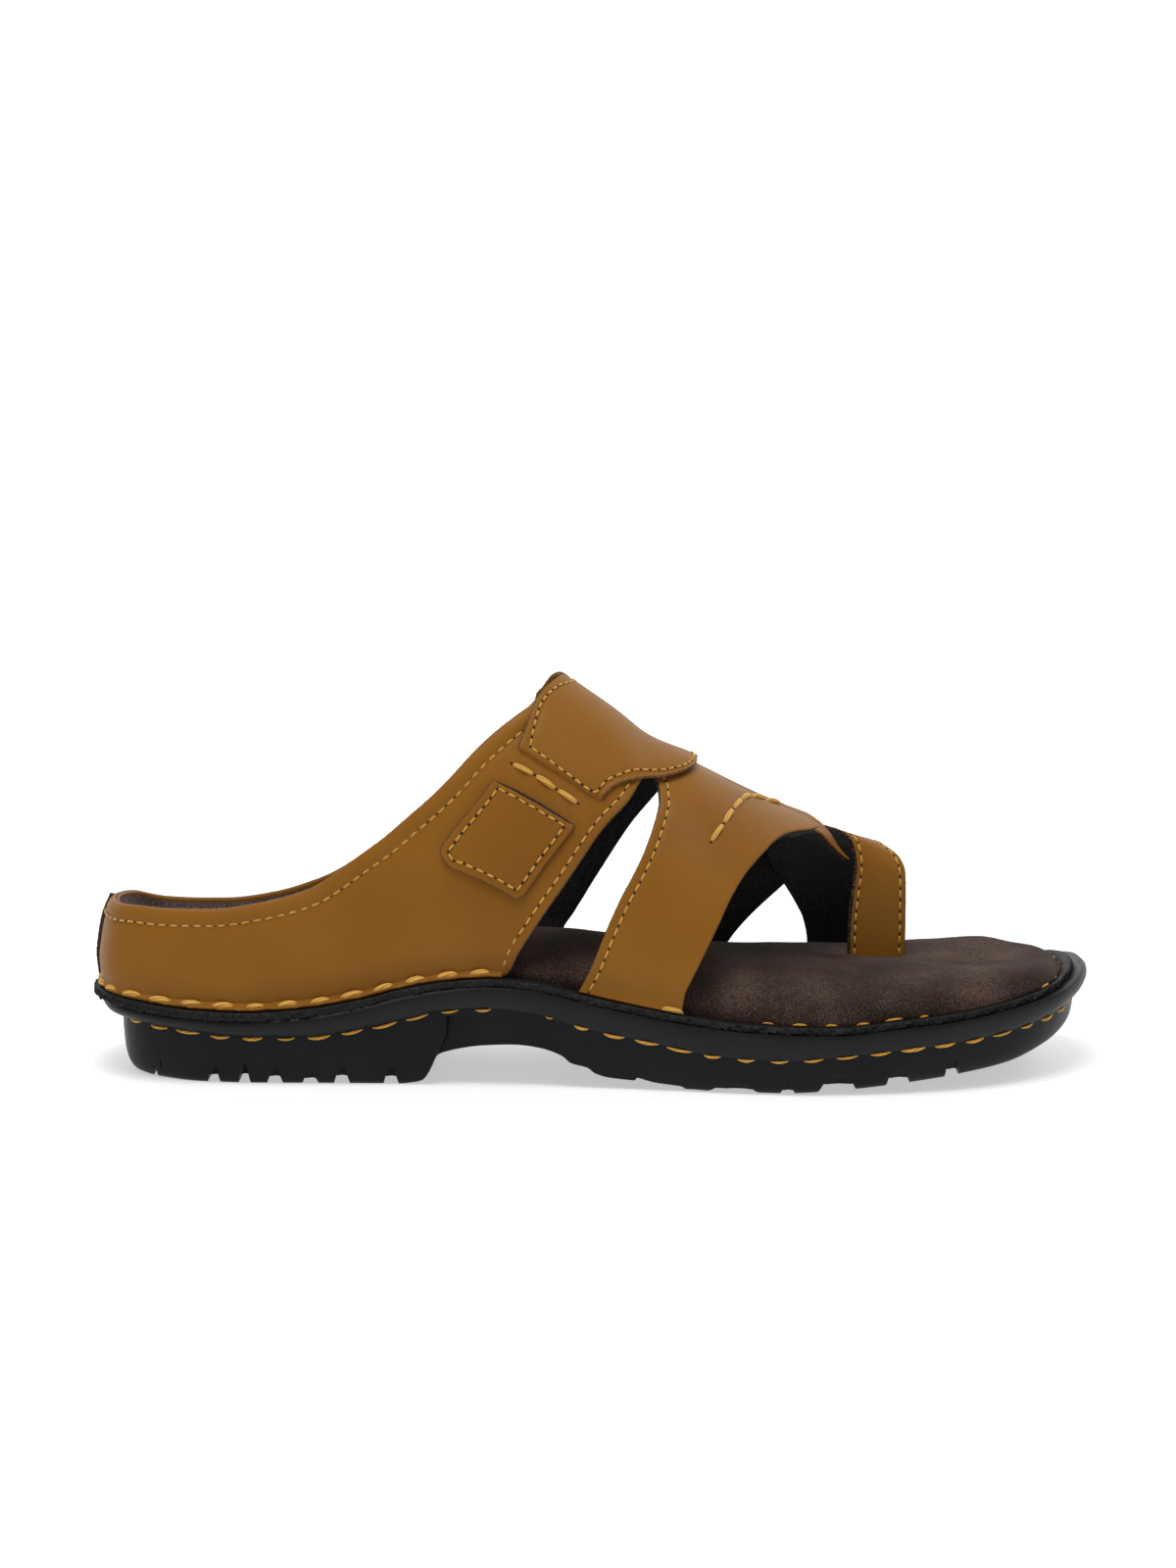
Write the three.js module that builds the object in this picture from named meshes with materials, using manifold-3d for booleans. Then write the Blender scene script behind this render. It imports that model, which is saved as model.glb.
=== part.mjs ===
// Toe-ring sandal for the right foot, in millimetres. Toe towards +X, outer side of the foot -Y, +Z up.
// The origin is the middle of the footprint on the floor.
import * as THREE from 'three';
import { mergeVertices } from 'three/addons/utils/BufferGeometryUtils.js';
import Module from 'manifold-3d';

const wasm = await Module();
wasm.setup();

// Driving sizes
const LENGTH = 292;          // sole, heel tip to toe tip
const WIDTH = 104;           // sole across the ball
const SIDE_HEIGHT = 29;      // rim of the sole at the arch, its highest stretch behind the toe
const SETBACK = 10;          // what the edge setbacks of the sole's layers are shares of
const INSTEP_HEIGHT = 114.2; // outside of the upper at the back of the instep, above the floor
const SPRING_HEIGHT = 63.6;  // outside of the upper over the big toe, above the floor
const CREASE = 1.3;          // how far the wall is drawn in where it is lasted
const CREASE_HEIGHT = 9;     // how far up that draw fades out
const WALL = 2;              // leather and lining of the quarters
const STRAP_WALL = 1.8;      // leather and lining of vamp, toe ring and tongue
const STRAP_SINK = 0.8;      // the vamp's outside lies this far under the quarters' outside
const OVERLAY = 1.2;         // saddle and square patch
const FLANGE = 1.6;          // the quarters' turned-out foot
const FLANGE_EDGE = 0.6;     // flange edge inside the board's edge
const BOARD = 1.8;           // black-edged board between midsole and footbed
const PAD_RISE = 12;         // footbed above the board, at the ball
const PAD_CROWN = 26;        // distance over which the footbed's edge rounds up
const PAD_LIP = 0.12;        // share of the footbed's rise that stands straight at its edge
const NOTCH_REACH = 14;      // how far the tread's side notches run in under the sole
const NOTCH_TAPER = 0.7;     // a notch's width at its top, as a share of that at its mouth
const CLEARANCE = 0.3;       // between pieces that lie against each other

// How fine the solids are
const STATIONS = 34;         // along each side of the sole, heel tip to toe tip
const QUARTER_STEPS = [76, 8];
const VAMP_STEPS = [34, 6];
const RING_STEPS = [30, 4];
const TONGUE_STEPS = [8, 3];
const SADDLE_STEPS = [26, 7];
const PATCH_STEPS = [9, 6];
const FLANGE_STEPS = 40;
const CIRCUIT_STEP = 0.002;  // around the plan, for the direction of its edge

const OUTER = -1;            // the foot's outer side
const INNER = 1;

// Plan of the sole. at: share of LENGTH from the heel; outer, inner: shares of half the WIDTH
const PLAN = table(['at', 'outer', 'inner'], [
  [0.000, 0.020, 0.020],
  [0.020, -0.430, 0.460],
  [0.060, -0.605, 0.625],
  [0.110, -0.685, 0.700],
  [0.170, -0.715, 0.722],
  [0.250, -0.725, 0.710],
  [0.340, -0.735, 0.665],
  [0.420, -0.755, 0.640],
  [0.500, -0.800, 0.660],
  [0.580, -0.880, 0.740],
  [0.650, -0.960, 0.850],
  [0.715, -1.000, 0.950],
  [0.780, -0.975, 1.000],
  [0.840, -0.900, 0.995],
  [0.890, -0.780, 0.950],
  [0.930, -0.640, 0.880],
  [0.965, -0.440, 0.760],
  [0.988, -0.190, 0.600],
  [1.000, 0.200, 0.200],
]);

// Side of the sole. rim, seam, base: heights in shares of SIDE_HEIGHT. The rest: setbacks from the plan
// in shares of SETBACK, of the board, the midsole's bulge, the stitched seam and the tread's edge
const SOLE = table(['at', 'rim', 'seam', 'base', 'board', 'bulge', 'groove', 'foot'], [
  [0.00, 0.738, 0.590, 0.000, 0.00, 0.22, 0.80, 1.35],
  [0.04, 0.752, 0.570, 0.000, 0.00, 0.14, 0.62, 1.05],
  [0.10, 0.710, 0.517, 0.000, 0.00, 0.08, 0.38, 0.66],
  [0.16, 0.686, 0.469, 0.000, 0.04, 0.04, 0.30, 0.56],
  [0.22, 0.720, 0.474, 0.000, 0.06, 0.00, 0.28, 0.56],
  [0.28, 0.810, 0.566, 0.000, 0.10, 0.00, 0.26, 0.55],
  [0.32, 0.903, 0.662, 0.000, 0.12, 0.00, 0.24, 0.52],
  [0.36, 0.969, 0.752, 0.000, 0.12, 0.00, 0.20, 0.50],
  [0.40, 1.000, 0.779, 0.000, 0.12, 0.00, 0.16, 0.46],
  [0.44, 0.972, 0.745, 0.000, 0.12, 0.00, 0.14, 0.45],
  [0.50, 0.838, 0.592, 0.000, 0.12, 0.00, 0.12, 0.45],
  [0.56, 0.724, 0.480, 0.000, 0.13, 0.00, 0.10, 0.48],
  [0.62, 0.641, 0.378, 0.000, 0.14, 0.00, 0.10, 0.50],
  [0.68, 0.605, 0.345, 0.000, 0.15, 0.00, 0.10, 0.50],
  [0.74, 0.614, 0.383, 0.030, 0.17, 0.00, 0.10, 0.50],
  [0.80, 0.679, 0.440, 0.085, 0.19, 0.00, 0.10, 0.50],
  [0.86, 0.741, 0.490, 0.158, 0.22, 0.00, 0.10, 0.50],
  [0.91, 0.807, 0.548, 0.250, 0.25, 0.00, 0.12, 0.50],
  [0.95, 0.869, 0.614, 0.360, 0.28, 0.00, 0.16, 0.50],
  [0.98, 0.924, 0.686, 0.450, 0.30, 0.00, 0.20, 0.52],
  [1.00, 0.962, 0.741, 0.510, 0.30, 0.00, 0.24, 0.54],
]);

// Waist arch under the sole. height: share of SIDE_HEIGHT
const ARCH = table(['at', 'height'], [
  [0.316, 0.000],
  [0.334, 0.040],
  [0.344, 0.175],
  [0.350, 0.295],
  [0.364, 0.350],
  [0.395, 0.405],
  [0.425, 0.420],
  [0.450, 0.395],
  [0.475, 0.330],
  [0.500, 0.207],
  [0.518, 0.120],
  [0.545, 0.075],
  [0.580, 0.035],
  [0.605, 0.000],
]);

// Notches in the tread's edge, on both sides. wide: share of LENGTH, high: share of SIDE_HEIGHT
const NOTCHES = table(['at', 'wide', 'high'], [
  [0.0680, 0.005, 0.120],
  [0.1290, 0.013, 0.085],
  [0.1595, 0.012, 0.100],
  [0.1895, 0.016, 0.080],
  [0.2245, 0.016, 0.060],
  [0.2555, 0.016, 0.090],
  [0.3040, 0.015, 0.085],
  [0.6390, 0.050, 0.035],
  [0.6910, 0.015, 0.050],
  [0.7395, 0.041, 0.088],
  [0.7985, 0.028, 0.085],
  [0.8520, 0.018, 0.090],
]);

// Profiles between two setbacks of the sole's side. up: share of the height, back: share of the setback
const OUTSOLE_SIDE = table(['up', 'back'], [
  [0.00, 1.00],
  [0.06, 0.58],
  [0.22, 0.24],
  [0.50, 0.07],
  [0.85, 0.00],
  [1.00, 0.00],
]);
const MIDSOLE_SIDE = table(['up', 'back'], [
  [0.00, 1.00],
  [0.14, 0.55],
  [0.36, 0.14],
  [0.62, 0.00],
  [0.86, 0.06],
  [1.00, 0.30],
]);

// Footbed. outer, inner: setback of its edge in shares of SETBACK; rise: share of PAD_RISE above the board
const PAD = table(['at', 'outer', 'inner', 'rise'], [
  [0.00, 0.62, 0.62, 0.600],
  [0.05, 0.70, 0.70, 0.617],
  [0.12, 0.86, 0.86, 0.633],
  [0.38, 0.86, 0.86, 0.683],
  [0.44, 0.70, 0.82, 0.760],
  [0.49, 0.68, 0.78, 0.860],
  [0.60, 0.66, 0.76, 0.970],
  [0.65, 0.42, 0.72, 1.000],
  [0.70, 0.36, 0.64, 0.942],
  [0.76, 0.36, 0.60, 0.850],
  [0.84, 0.36, 0.58, 0.640],
  [0.88, 0.36, 0.42, 0.540],
  [0.94, 0.38, 0.40, 0.400],
  [1.00, 0.42, 0.42, 0.333],
]);
const PAD_STEPS = [0, 0.012, 0.06, 0.15, 0.3, 0.55, 1]; // shares of PAD_CROWN
const PAD_ROUNDNESS = 2.4;

// Crest of the last, with the share along it. y: share of half the WIDTH. z: share of INSTEP_HEIGHT
// behind the ball and of SPRING_HEIGHT over the toes
const CREST = table(['at', 'y', 'instep', 'spring'], [
  [0.100, 0.038, 1.313, 0.000],
  [0.200, 0.038, 1.322, 0.000],
  [0.300, 0.038, 1.279, 0.000],
  [0.380, 0.048, 1.173, 0.000],
  [0.470, 0.058, 1.000, 0.000],
  [0.540, 0.077, 0.866, 0.000],
  [0.607, 0.106, 0.666, 0.200],
  [0.666, 0.135, 0.418, 0.500],
  [0.746, 0.250, 0.048, 1.000],
  [0.800, 0.404, 0.000, 1.013],
  [0.850, 0.481, 0.000, 0.943],
  [0.900, 0.500, 0.000, 0.818],
]);

// Cross-sections of the last. feather: setback of its lower edge in shares of SETBACK; round: how full
const SECTION = table(['at', 'featherOuter', 'featherInner', 'roundOuter', 'roundInner'], [
  [0.00, 0.04, 0.04, 1.25, 1.25],
  [0.04, 0.16, 0.16, 1.25, 1.25],
  [0.10, 0.36, 0.36, 1.28, 1.28],
  [0.20, 0.44, 0.44, 1.32, 1.32],
  [0.33, 0.42, 0.42, 1.75, 1.75],
  [0.42, 0.38, 0.38, 2.00, 2.00],
  [0.50, 0.24, 0.26, 2.08, 2.08],
  [0.60, 0.22, 0.24, 2.00, 2.10],
  [0.72, 0.22, 0.24, 1.80, 2.20],
  [0.80, 0.22, 0.24, 1.70, 2.20],
  [1.00, 0.22, 0.24, 1.70, 2.10],
]);

// A panel's ribs on the last. at: share along; turn: share of the way from feather edge to crest
const RIB = ['fromAt', 'fromTurn', 'toAt', 'toTurn'];

// Quarters and instep band, from their lower and front edge up to the topline, heel first
const QUARTER_OUTER = table(RIB, [
  [0.000, 0.000, 0.000, 0.241],
  [0.015, 0.000, 0.013, 0.242],
  [0.060, 0.000, 0.050, 0.246],
  [0.130, 0.000, 0.105, 0.246],
  [0.190, 0.000, 0.160, 0.257],
  [0.245, 0.000, 0.205, 0.271],
  [0.300, 0.000, 0.245, 0.290],
  [0.345, 0.000, 0.285, 0.308],
  [0.382, 0.000, 0.320, 0.342],
  [0.411, 0.000, 0.350, 0.393],
  [0.432, 0.067, 0.375, 0.458],
  [0.476, 0.230, 0.400, 0.535],
  [0.514, 0.404, 0.420, 0.609],
  [0.541, 0.529, 0.435, 0.679],
  [0.561, 0.640, 0.446, 0.768],
  [0.588, 0.800, 0.457, 0.860],
  [0.612, 1.000, 0.466, 1.000],
]);
const QUARTER_INNER = table(RIB, [
  [0.000, 0.000, 0.000, 0.241],
  [0.015, 0.000, 0.013, 0.233],
  [0.060, 0.000, 0.050, 0.216],
  [0.130, 0.000, 0.105, 0.212],
  [0.195, 0.000, 0.160, 0.224],
  [0.255, 0.000, 0.205, 0.242],
  [0.315, 0.000, 0.245, 0.257],
  [0.370, 0.000, 0.285, 0.273],
  [0.415, 0.000, 0.320, 0.300],
  [0.455, 0.000, 0.350, 0.350],
  [0.477, 0.067, 0.375, 0.410],
  [0.515, 0.230, 0.400, 0.485],
  [0.549, 0.404, 0.420, 0.560],
  [0.572, 0.529, 0.435, 0.640],
  [0.590, 0.640, 0.446, 0.735],
  [0.606, 0.800, 0.457, 0.850],
  [0.612, 1.000, 0.466, 1.000],
]);

// Vamp strap, from its rear to its front edge, outer base first; a turn past 1 is over the crest
const VAMP = table(RIB, [
  [0.488, 0.000, 0.590, 0.000],
  [0.498, 0.045, 0.592, 0.045],
  [0.515, 0.149, 0.607, 0.140],
  [0.530, 0.240, 0.626, 0.252],
  [0.544, 0.320, 0.642, 0.350],
  [0.557, 0.410, 0.660, 0.445],
  [0.566, 0.489, 0.678, 0.525],
  [0.572, 0.550, 0.692, 0.585],
  [0.576, 0.610, 0.706, 0.645],
  [0.577, 0.670, 0.722, 0.702],
  [0.574, 0.740, 0.742, 0.757],
  [0.573, 0.820, 0.764, 0.810],
  [0.574, 0.910, 0.784, 0.890],
  [0.575, 1.000, 0.790, 1.000],
  [0.577, 1.100, 0.770, 1.100],
  [0.580, 1.220, 0.755, 1.220],
  [0.583, 1.340, 0.748, 1.340],
  [0.585, 1.450, 0.744, 1.450],
  [0.583, 1.550, 0.738, 1.560],
  [0.579, 1.640, 0.723, 1.656],
  [0.574, 1.710, 0.708, 1.720],
  [0.568, 1.780, 0.690, 1.780],
  [0.562, 1.850, 0.669, 1.845],
  [0.556, 1.920, 0.649, 1.912],
  [0.549, 2.000, 0.628, 2.000],
]);

// Saddle over the instep, from its rear to its front edge, outer end first
const SADDLE = table(RIB, [
  [0.433, 0.521, 0.507, 0.487],
  [0.434, 0.545, 0.520, 0.544],
  [0.437, 0.600, 0.541, 0.622],
  [0.440, 0.665, 0.563, 0.683],
  [0.445, 0.725, 0.588, 0.742],
  [0.455, 0.834, 0.613, 0.836],
  [0.465, 0.940, 0.630, 0.945],
  [0.470, 1.000, 0.634, 1.000],
  [0.465, 1.060, 0.634, 1.055],
  [0.456, 1.166, 0.624, 1.164],
  [0.447, 1.275, 0.607, 1.258],
  [0.442, 1.335, 0.590, 1.317],
  [0.439, 1.400, 0.572, 1.378],
  [0.436, 1.455, 0.552, 1.456],
  [0.435, 1.479, 0.540, 1.500],
]);

// Square patch on the outer quarter, from its rear to its front edge, foot first
const PATCH = table(RIB, [
  [0.360, 0.221, 0.426, 0.162],
  [0.350, 0.242, 0.434, 0.176],
  [0.347, 0.257, 0.438, 0.190],
  [0.352, 0.273, 0.445, 0.214],
  [0.362, 0.297, 0.455, 0.252],
  [0.376, 0.331, 0.467, 0.298],
  [0.388, 0.365, 0.476, 0.335],
  [0.399, 0.404, 0.484, 0.370],
]);

// A free strap's rear and front edges. x: share of LENGTH from the middle, y: share of half the WIDTH,
// z: share of SPRING_HEIGHT
const EDGES = ['x0', 'y0', 'z0', 'x1', 'y1', 'z1'];

// Toe ring: up between the first two toes, over the big toe, down to the inner side of the sole
const RING = table(EDGES, [
  [0.2625, 0.154, 0.320, 0.3210, 0.154, 0.340],
  [0.2625, 0.154, 0.480, 0.3210, 0.154, 0.480],
  [0.2630, 0.154, 0.628, 0.3215, 0.154, 0.620],
  [0.2660, 0.154, 0.770, 0.3215, 0.154, 0.760],
  [0.2690, 0.158, 0.900, 0.3210, 0.165, 0.870],
  [0.2650, 0.185, 1.010, 0.3160, 0.215, 0.935],
  [0.2500, 0.240, 1.068, 0.3060, 0.290, 0.970],
  [0.2250, 0.340, 1.085, 0.2990, 0.400, 0.985],
  [0.1960, 0.480, 1.040, 0.2970, 0.520, 0.970],
  [0.1840, 0.620, 0.935, 0.2990, 0.640, 0.915],
  [0.1920, 0.730, 0.840, 0.3040, 0.740, 0.820],
  [0.2040, 0.820, 0.745, 0.3100, 0.830, 0.715],
  [0.2160, 0.885, 0.650, 0.3170, 0.885, 0.600],
  [0.2250, 0.925, 0.560, 0.3220, 0.920, 0.500],
  [0.2300, 0.942, 0.440, 0.3240, 0.932, 0.420],
  [0.2310, 0.935, 0.310, 0.3240, 0.925, 0.340],
]);

// Tongue: the vamp's front end, dipping to the inside of the ring's near leg; inner and outer edge
const TONGUE = table(EDGES, [
  [0.2120, 0.170, 1.140, 0.2030, -0.220, 1.112],
  [0.2290, 0.158, 1.112, 0.2190, -0.125, 1.100],
  [0.2370, 0.160, 1.084, 0.2290, -0.040, 1.074],
  [0.2420, 0.170, 1.052, 0.2360, 0.020, 1.042],
  [0.2520, 0.180, 0.995, 0.2470, 0.095, 0.985],
  [0.2640, 0.190, 0.938, 0.2590, 0.150, 0.950],
  [0.2740, 0.195, 0.880, 0.2700, 0.175, 0.900],
]);

// A table's rows as columns by name
function table(names, rows) {
  const columns = { rows: rows.length };
  names.forEach((name, i) => {
    columns[name] = rows.map((row) => row[i]);
  });
  return columns;
}

// Smooth curve through points (x, y) that never overshoots them
function smooth(x, y, at) {
  const last = x.length - 1;
  const slope = (i) => (y[i + 1] - y[i]) / (x[i + 1] - x[i]);
  const bend = (i) => {
    if (i === 0) return slope(0);
    if (i === last) return slope(last - 1);
    const before = slope(i - 1);
    const after = slope(i);
    if (before * after <= 0) return 0;
    const widthBefore = x[i] - x[i - 1];
    const widthAfter = x[i + 1] - x[i];
    const a = 2 * widthAfter + widthBefore;
    const b = widthAfter + 2 * widthBefore;
    return (a + b) / (a / before + b / after);
  };
  const held = Math.min(Math.max(at, x[0]), x[last]);
  let i = 0;
  while (i < last - 1 && held > x[i + 1]) i += 1;
  const width = x[i + 1] - x[i];
  const t = (held - x[i]) / width;
  const t2 = t * t;
  const t3 = t2 * t;
  return (2 * t3 - 3 * t2 + 1) * y[i] + (t3 - 2 * t2 + t) * width * bend(i)
    + (3 * t2 - 2 * t3) * y[i + 1] + (t3 - t2) * width * bend(i + 1);
}

const column = (data, name, at) => smooth(data.at, data[name], at);

// A table without a place column, read by how far down its rows
function rowValue(data, name, share) {
  const places = data[name].map((_, i) => i);
  return smooth(places, data[name], share * (data.rows - 1));
}

// Along the sole
const alongX = (at) => LENGTH * (at - 0.5);
const shareOfX = (x) => x / LENGTH + 0.5;

// Around the sole: equal steps of the angle bunch the stations at both tips
const angleOf = (at) => Math.acos(1 - 2 * at) / Math.PI;
const atOfAngle = (angle) => 0.5 - 0.5 * Math.cos(Math.PI * angle);
const PLAN_ANGLE = PLAN.at.map(angleOf);

function planY(side, at) {
  return (WIDTH / 2) * smooth(PLAN_ANGLE, side === OUTER ? PLAN.outer : PLAN.inner, angleOf(at));
}

// Inward direction, square to the plan's edge
function planInward(side, at) {
  const angle = angleOf(at);
  if (angle <= CIRCUIT_STEP) return new THREE.Vector2(1, 0);
  if (angle >= 1 - CIRCUIT_STEP) return new THREE.Vector2(-1, 0);
  const before = atOfAngle(angle - CIRCUIT_STEP);
  const after = atOfAngle(angle + CIRCUIT_STEP);
  const dx = alongX(after) - alongX(before);
  const dy = planY(side, after) - planY(side, before);
  return new THREE.Vector2(side * dy, -side * dx).normalize();
}

// Point at a setback from the edge, on the way to the sole's middle line
const MIDDLE_START = 0.12;
const MIDDLE_RUN = 0.76;

function planPoint(side, at, setback) {
  const edge = new THREE.Vector2(alongX(at), planY(side, at));
  const middleAt = MIDDLE_START + MIDDLE_RUN * at;
  const middleY = (planY(OUTER, middleAt) + planY(INNER, middleAt)) / 2;
  const way = new THREE.Vector2(alongX(middleAt), middleY).sub(edge);
  return edge.addScaledVector(way, setback / way.dot(planInward(side, at)));
}

// Heights of the layers
const rimHeight = (at) => SIDE_HEIGHT * column(SOLE, 'rim', at);
const seamHeight = (at) => SIDE_HEIGHT * column(SOLE, 'seam', at);
const baseHeight = (at) => SIDE_HEIGHT * column(SOLE, 'base', at);
const boardTop = (at) => rimHeight(at) + CLEARANCE + BOARD;
const soleSetback = (name, at) => SETBACK * column(SOLE, name, at);

// A point of the upper's outside on the last. turn: 0 at the feather edge, 1 at the crest
const CREST_START = 0.1;
const CREST_RUN = 0.8;

function lastPoint(side, at, turn) {
  const outer = side === OUTER;
  const feather = planPoint(side, at, SETBACK * column(SECTION, outer ? 'featherOuter' : 'featherInner', at));
  const round = column(SECTION, outer ? 'roundOuter' : 'roundInner', at);
  const crestAt = CREST_START + CREST_RUN * at;
  const crestX = alongX(crestAt);
  const crestY = (WIDTH / 2) * column(CREST, 'y', crestAt);
  const crestZ = INSTEP_HEIGHT * column(CREST, 'instep', crestAt)
    + SPRING_HEIGHT * column(CREST, 'spring', crestAt);
  const foot = boardTop(shareOfX(feather.x)) + CLEARANCE;
  const angle = turn * Math.PI / 2;
  const z = foot + (crestZ - foot) * Math.sin(angle) ** (2 / round);
  const radius = Math.hypot(feather.x - crestX, feather.y - crestY);
  const drawn = CREASE * (1 - THREE.MathUtils.smoothstep(z - foot, 0, CREASE_HEIGHT)) / radius;
  const out = Math.max(Math.cos(angle), 0) ** (2 / round) - drawn;
  return new THREE.Vector3(crestX + (feather.x - crestX) * out, crestY + (feather.y - crestY) * out, z);
}

// The same over both sides: around 0 is the outer feather edge, 1 the crest, 2 the inner feather edge
const lastAround = (at, around) => lastPoint(around > 1 ? INNER : OUTER, at, 1 - Math.abs(1 - around));

// Closed solid from a list of vertices and triangles, turned so that its faces point out
function solidOf(points, triangles) {
  let volume = 0;
  for (const [a, b, c] of triangles) {
    volume += points[a].dot(new THREE.Vector3().crossVectors(points[b], points[c]));
  }
  const geometry = new THREE.BufferGeometry();
  geometry.setAttribute('position', new THREE.Float32BufferAttribute(points.flatMap((p) => p.toArray()), 3));
  geometry.setIndex(triangles.flatMap(([a, b, c]) => (volume > 0 ? [a, b, c] : [a, c, b])));
  return geometry;
}

function toManifold(geometry) {
  const bare = geometry.clone();
  bare.deleteAttribute('normal');
  bare.deleteAttribute('uv');
  const merged = mergeVertices(bare);
  const mesh = new wasm.Mesh({
    numProp: 3,
    vertProperties: new Float32Array(merged.attributes.position.array),
    triVerts: new Uint32Array(merged.index.array),
  });
  return new wasm.Manifold(mesh);
}

function fromManifold(solid) {
  const mesh = solid.getMesh();
  const geometry = new THREE.BufferGeometry();
  geometry.setAttribute('position', new THREE.BufferAttribute(mesh.vertProperties, 3));
  geometry.setIndex(new THREE.BufferAttribute(mesh.triVerts, 1));
  return geometry;
}

const joined = (geometries) => fromManifold(geometries.map(toManifold).reduce((all, one) => all.add(one)));
const cutBy = (geometry, cutters) => {
  const solid = cutters.map(toManifold).reduce((left, cutter) => left.subtract(cutter), toManifold(geometry));
  return fromManifold(solid);
};

// Layer of the sole: rings around the plan from the bottom up, closed across the sole at both ends.
// Each ring gives a setback and a height for a side and a place
function layer(rings) {
  const points = [];
  const triangles = [];
  const around = 2 * STATIONS;
  for (const ring of rings) {
    for (let i = 0; i < around; i += 1) {
      const side = i <= STATIONS ? OUTER : INNER;
      const at = atOfAngle((i <= STATIONS ? i : around - i) / STATIONS);
      const flat = planPoint(side, at, ring.setback(at, side));
      points.push(new THREE.Vector3(flat.x, flat.y, ring.height(shareOfX(flat.x), at)));
    }
  }
  for (let r = 0; r < rings.length - 1; r += 1) {
    for (let i = 0; i < around; i += 1) {
      const a = r * around + i;
      const b = r * around + (i + 1) % around;
      triangles.push([a, b, b + around], [a, b + around, a + around]);
    }
  }
  for (const [start, flip] of [[0, true], [(rings.length - 1) * around, false]]) {
    for (let i = 0; i < STATIONS; i += 1) {
      const outerBack = start + i;
      const outerFront = start + i + 1;
      const innerBack = start + (around - i) % around;
      const innerFront = start + around - i - 1;
      const faces = [[outerBack, outerFront, innerFront], [outerBack, innerFront, innerBack]];
      for (const [a, b, c] of faces) {
        if (a !== b && b !== c && a !== c) triangles.push(flip ? [a, c, b] : [a, b, c]);
      }
    }
  }
  return solidOf(points, triangles);
}

// Wall of a panel over a grid of points. top and bottom: how far in from the grid its two faces lie.
// What would reach lower than the board stops on it
function wall(pointAt, [across, along], top, bottom, closed = false) {
  const columns = closed ? across : across + 1;
  const rows = along + 1;
  const grid = [];
  for (let i = 0; i < columns; i += 1) {
    for (let j = 0; j < rows; j += 1) grid.push(pointAt(i / across, j / along));
  }
  const index = (i, j) => (closed ? (i + columns) % columns : Math.min(Math.max(i, 0), columns - 1)) * rows
    + Math.min(Math.max(j, 0), rows - 1);
  const points = [];
  for (const distance of [top, bottom]) {
    for (let i = 0; i < columns; i += 1) {
      for (let j = 0; j < rows; j += 1) {
        const u = grid[index(i + 1, j)].clone().sub(grid[index(i - 1, j)]);
        const v = grid[index(i, j + 1)].clone().sub(grid[index(i, j - 1)]);
        const normal = u.cross(v).normalize();
        const point = grid[index(i, j)].clone().addScaledVector(normal, distance);
        point.z = Math.max(point.z, boardTop(shareOfX(point.x)) + CLEARANCE);
        points.push(point);
      }
    }
  }
  const under = columns * rows;
  const triangles = [];
  const quad = (a, b, c, d) => triangles.push([a, b, c], [a, c, d]);
  const steps = closed ? columns : columns - 1;
  for (let i = 0; i < steps; i += 1) {
    for (let j = 0; j < rows - 1; j += 1) {
      const [a, b, c, d] = [index(i, j), index(i + 1, j), index(i + 1, j + 1), index(i, j + 1)];
      quad(a, b, c, d);
      quad(under + a, under + d, under + c, under + b);
    }
    for (const [a, b] of [[index(i + 1, 0), index(i, 0)], [index(i, rows - 1), index(i + 1, rows - 1)]]) {
      quad(a, b, under + b, under + a);
    }
  }
  if (!closed) {
    for (let j = 0; j < rows - 1; j += 1) {
      const starts = [index(0, j), index(columns - 1, j + 1)];
      const ends = [index(0, j + 1), index(columns - 1, j)];
      starts.forEach((a, k) => quad(a, ends[k], under + ends[k], under + a));
    }
  }
  return solidOf(points, triangles);
}

// Point of a panel whose ribs are a table on the last. Places go by their angle, as the stations do
function ribPoint(data, share, across, pointOf) {
  const rows = data.fromAt.map((_, i) => i);
  const placeOf = (name) => atOfAngle(smooth(rows, data[name].map(angleOf), share * (data.rows - 1)));
  const at = THREE.MathUtils.lerp(placeOf('fromAt'), placeOf('toAt'), across);
  const turn = THREE.MathUtils.lerp(rowValue(data, 'fromTurn', share), rowValue(data, 'toTurn', share), across);
  return pointOf(at, turn);
}

const scaledEdge = (data, share, end) => new THREE.Vector3(
  LENGTH * rowValue(data, `x${end}`, share),
  (WIDTH / 2) * rowValue(data, `y${end}`, share),
  SPRING_HEIGHT * rowValue(data, `z${end}`, share),
);

function makeOutsole() {
  const rings = OUTSOLE_SIDE.up.map((up, i) => ({
    setback: (at) => THREE.MathUtils.lerp(
      soleSetback('groove', at), soleSetback('foot', at), OUTSOLE_SIDE.back[i]),
    height: (at) => THREE.MathUtils.lerp(baseHeight(at), seamHeight(at) - CLEARANCE / 2, up),
  }));
  return cutBy(layer(rings), [archCutter(), ...notchCutters()]);
}

// The waist's hollow runs right through under the sole
function archCutter() {
  const below = -SIDE_HEIGHT;
  const shape = new THREE.Shape();
  shape.moveTo(alongX(ARCH.at[0]), below);
  ARCH.at.forEach((at, i) => shape.lineTo(alongX(at), SIDE_HEIGHT * ARCH.height[i]));
  shape.lineTo(alongX(ARCH.at[ARCH.rows - 1]), below);
  const cutter = new THREE.ExtrudeGeometry(shape, { depth: 2 * WIDTH, bevelEnabled: false });
  return cutter.rotateX(Math.PI / 2).translate(0, WIDTH, 0);
}

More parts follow.
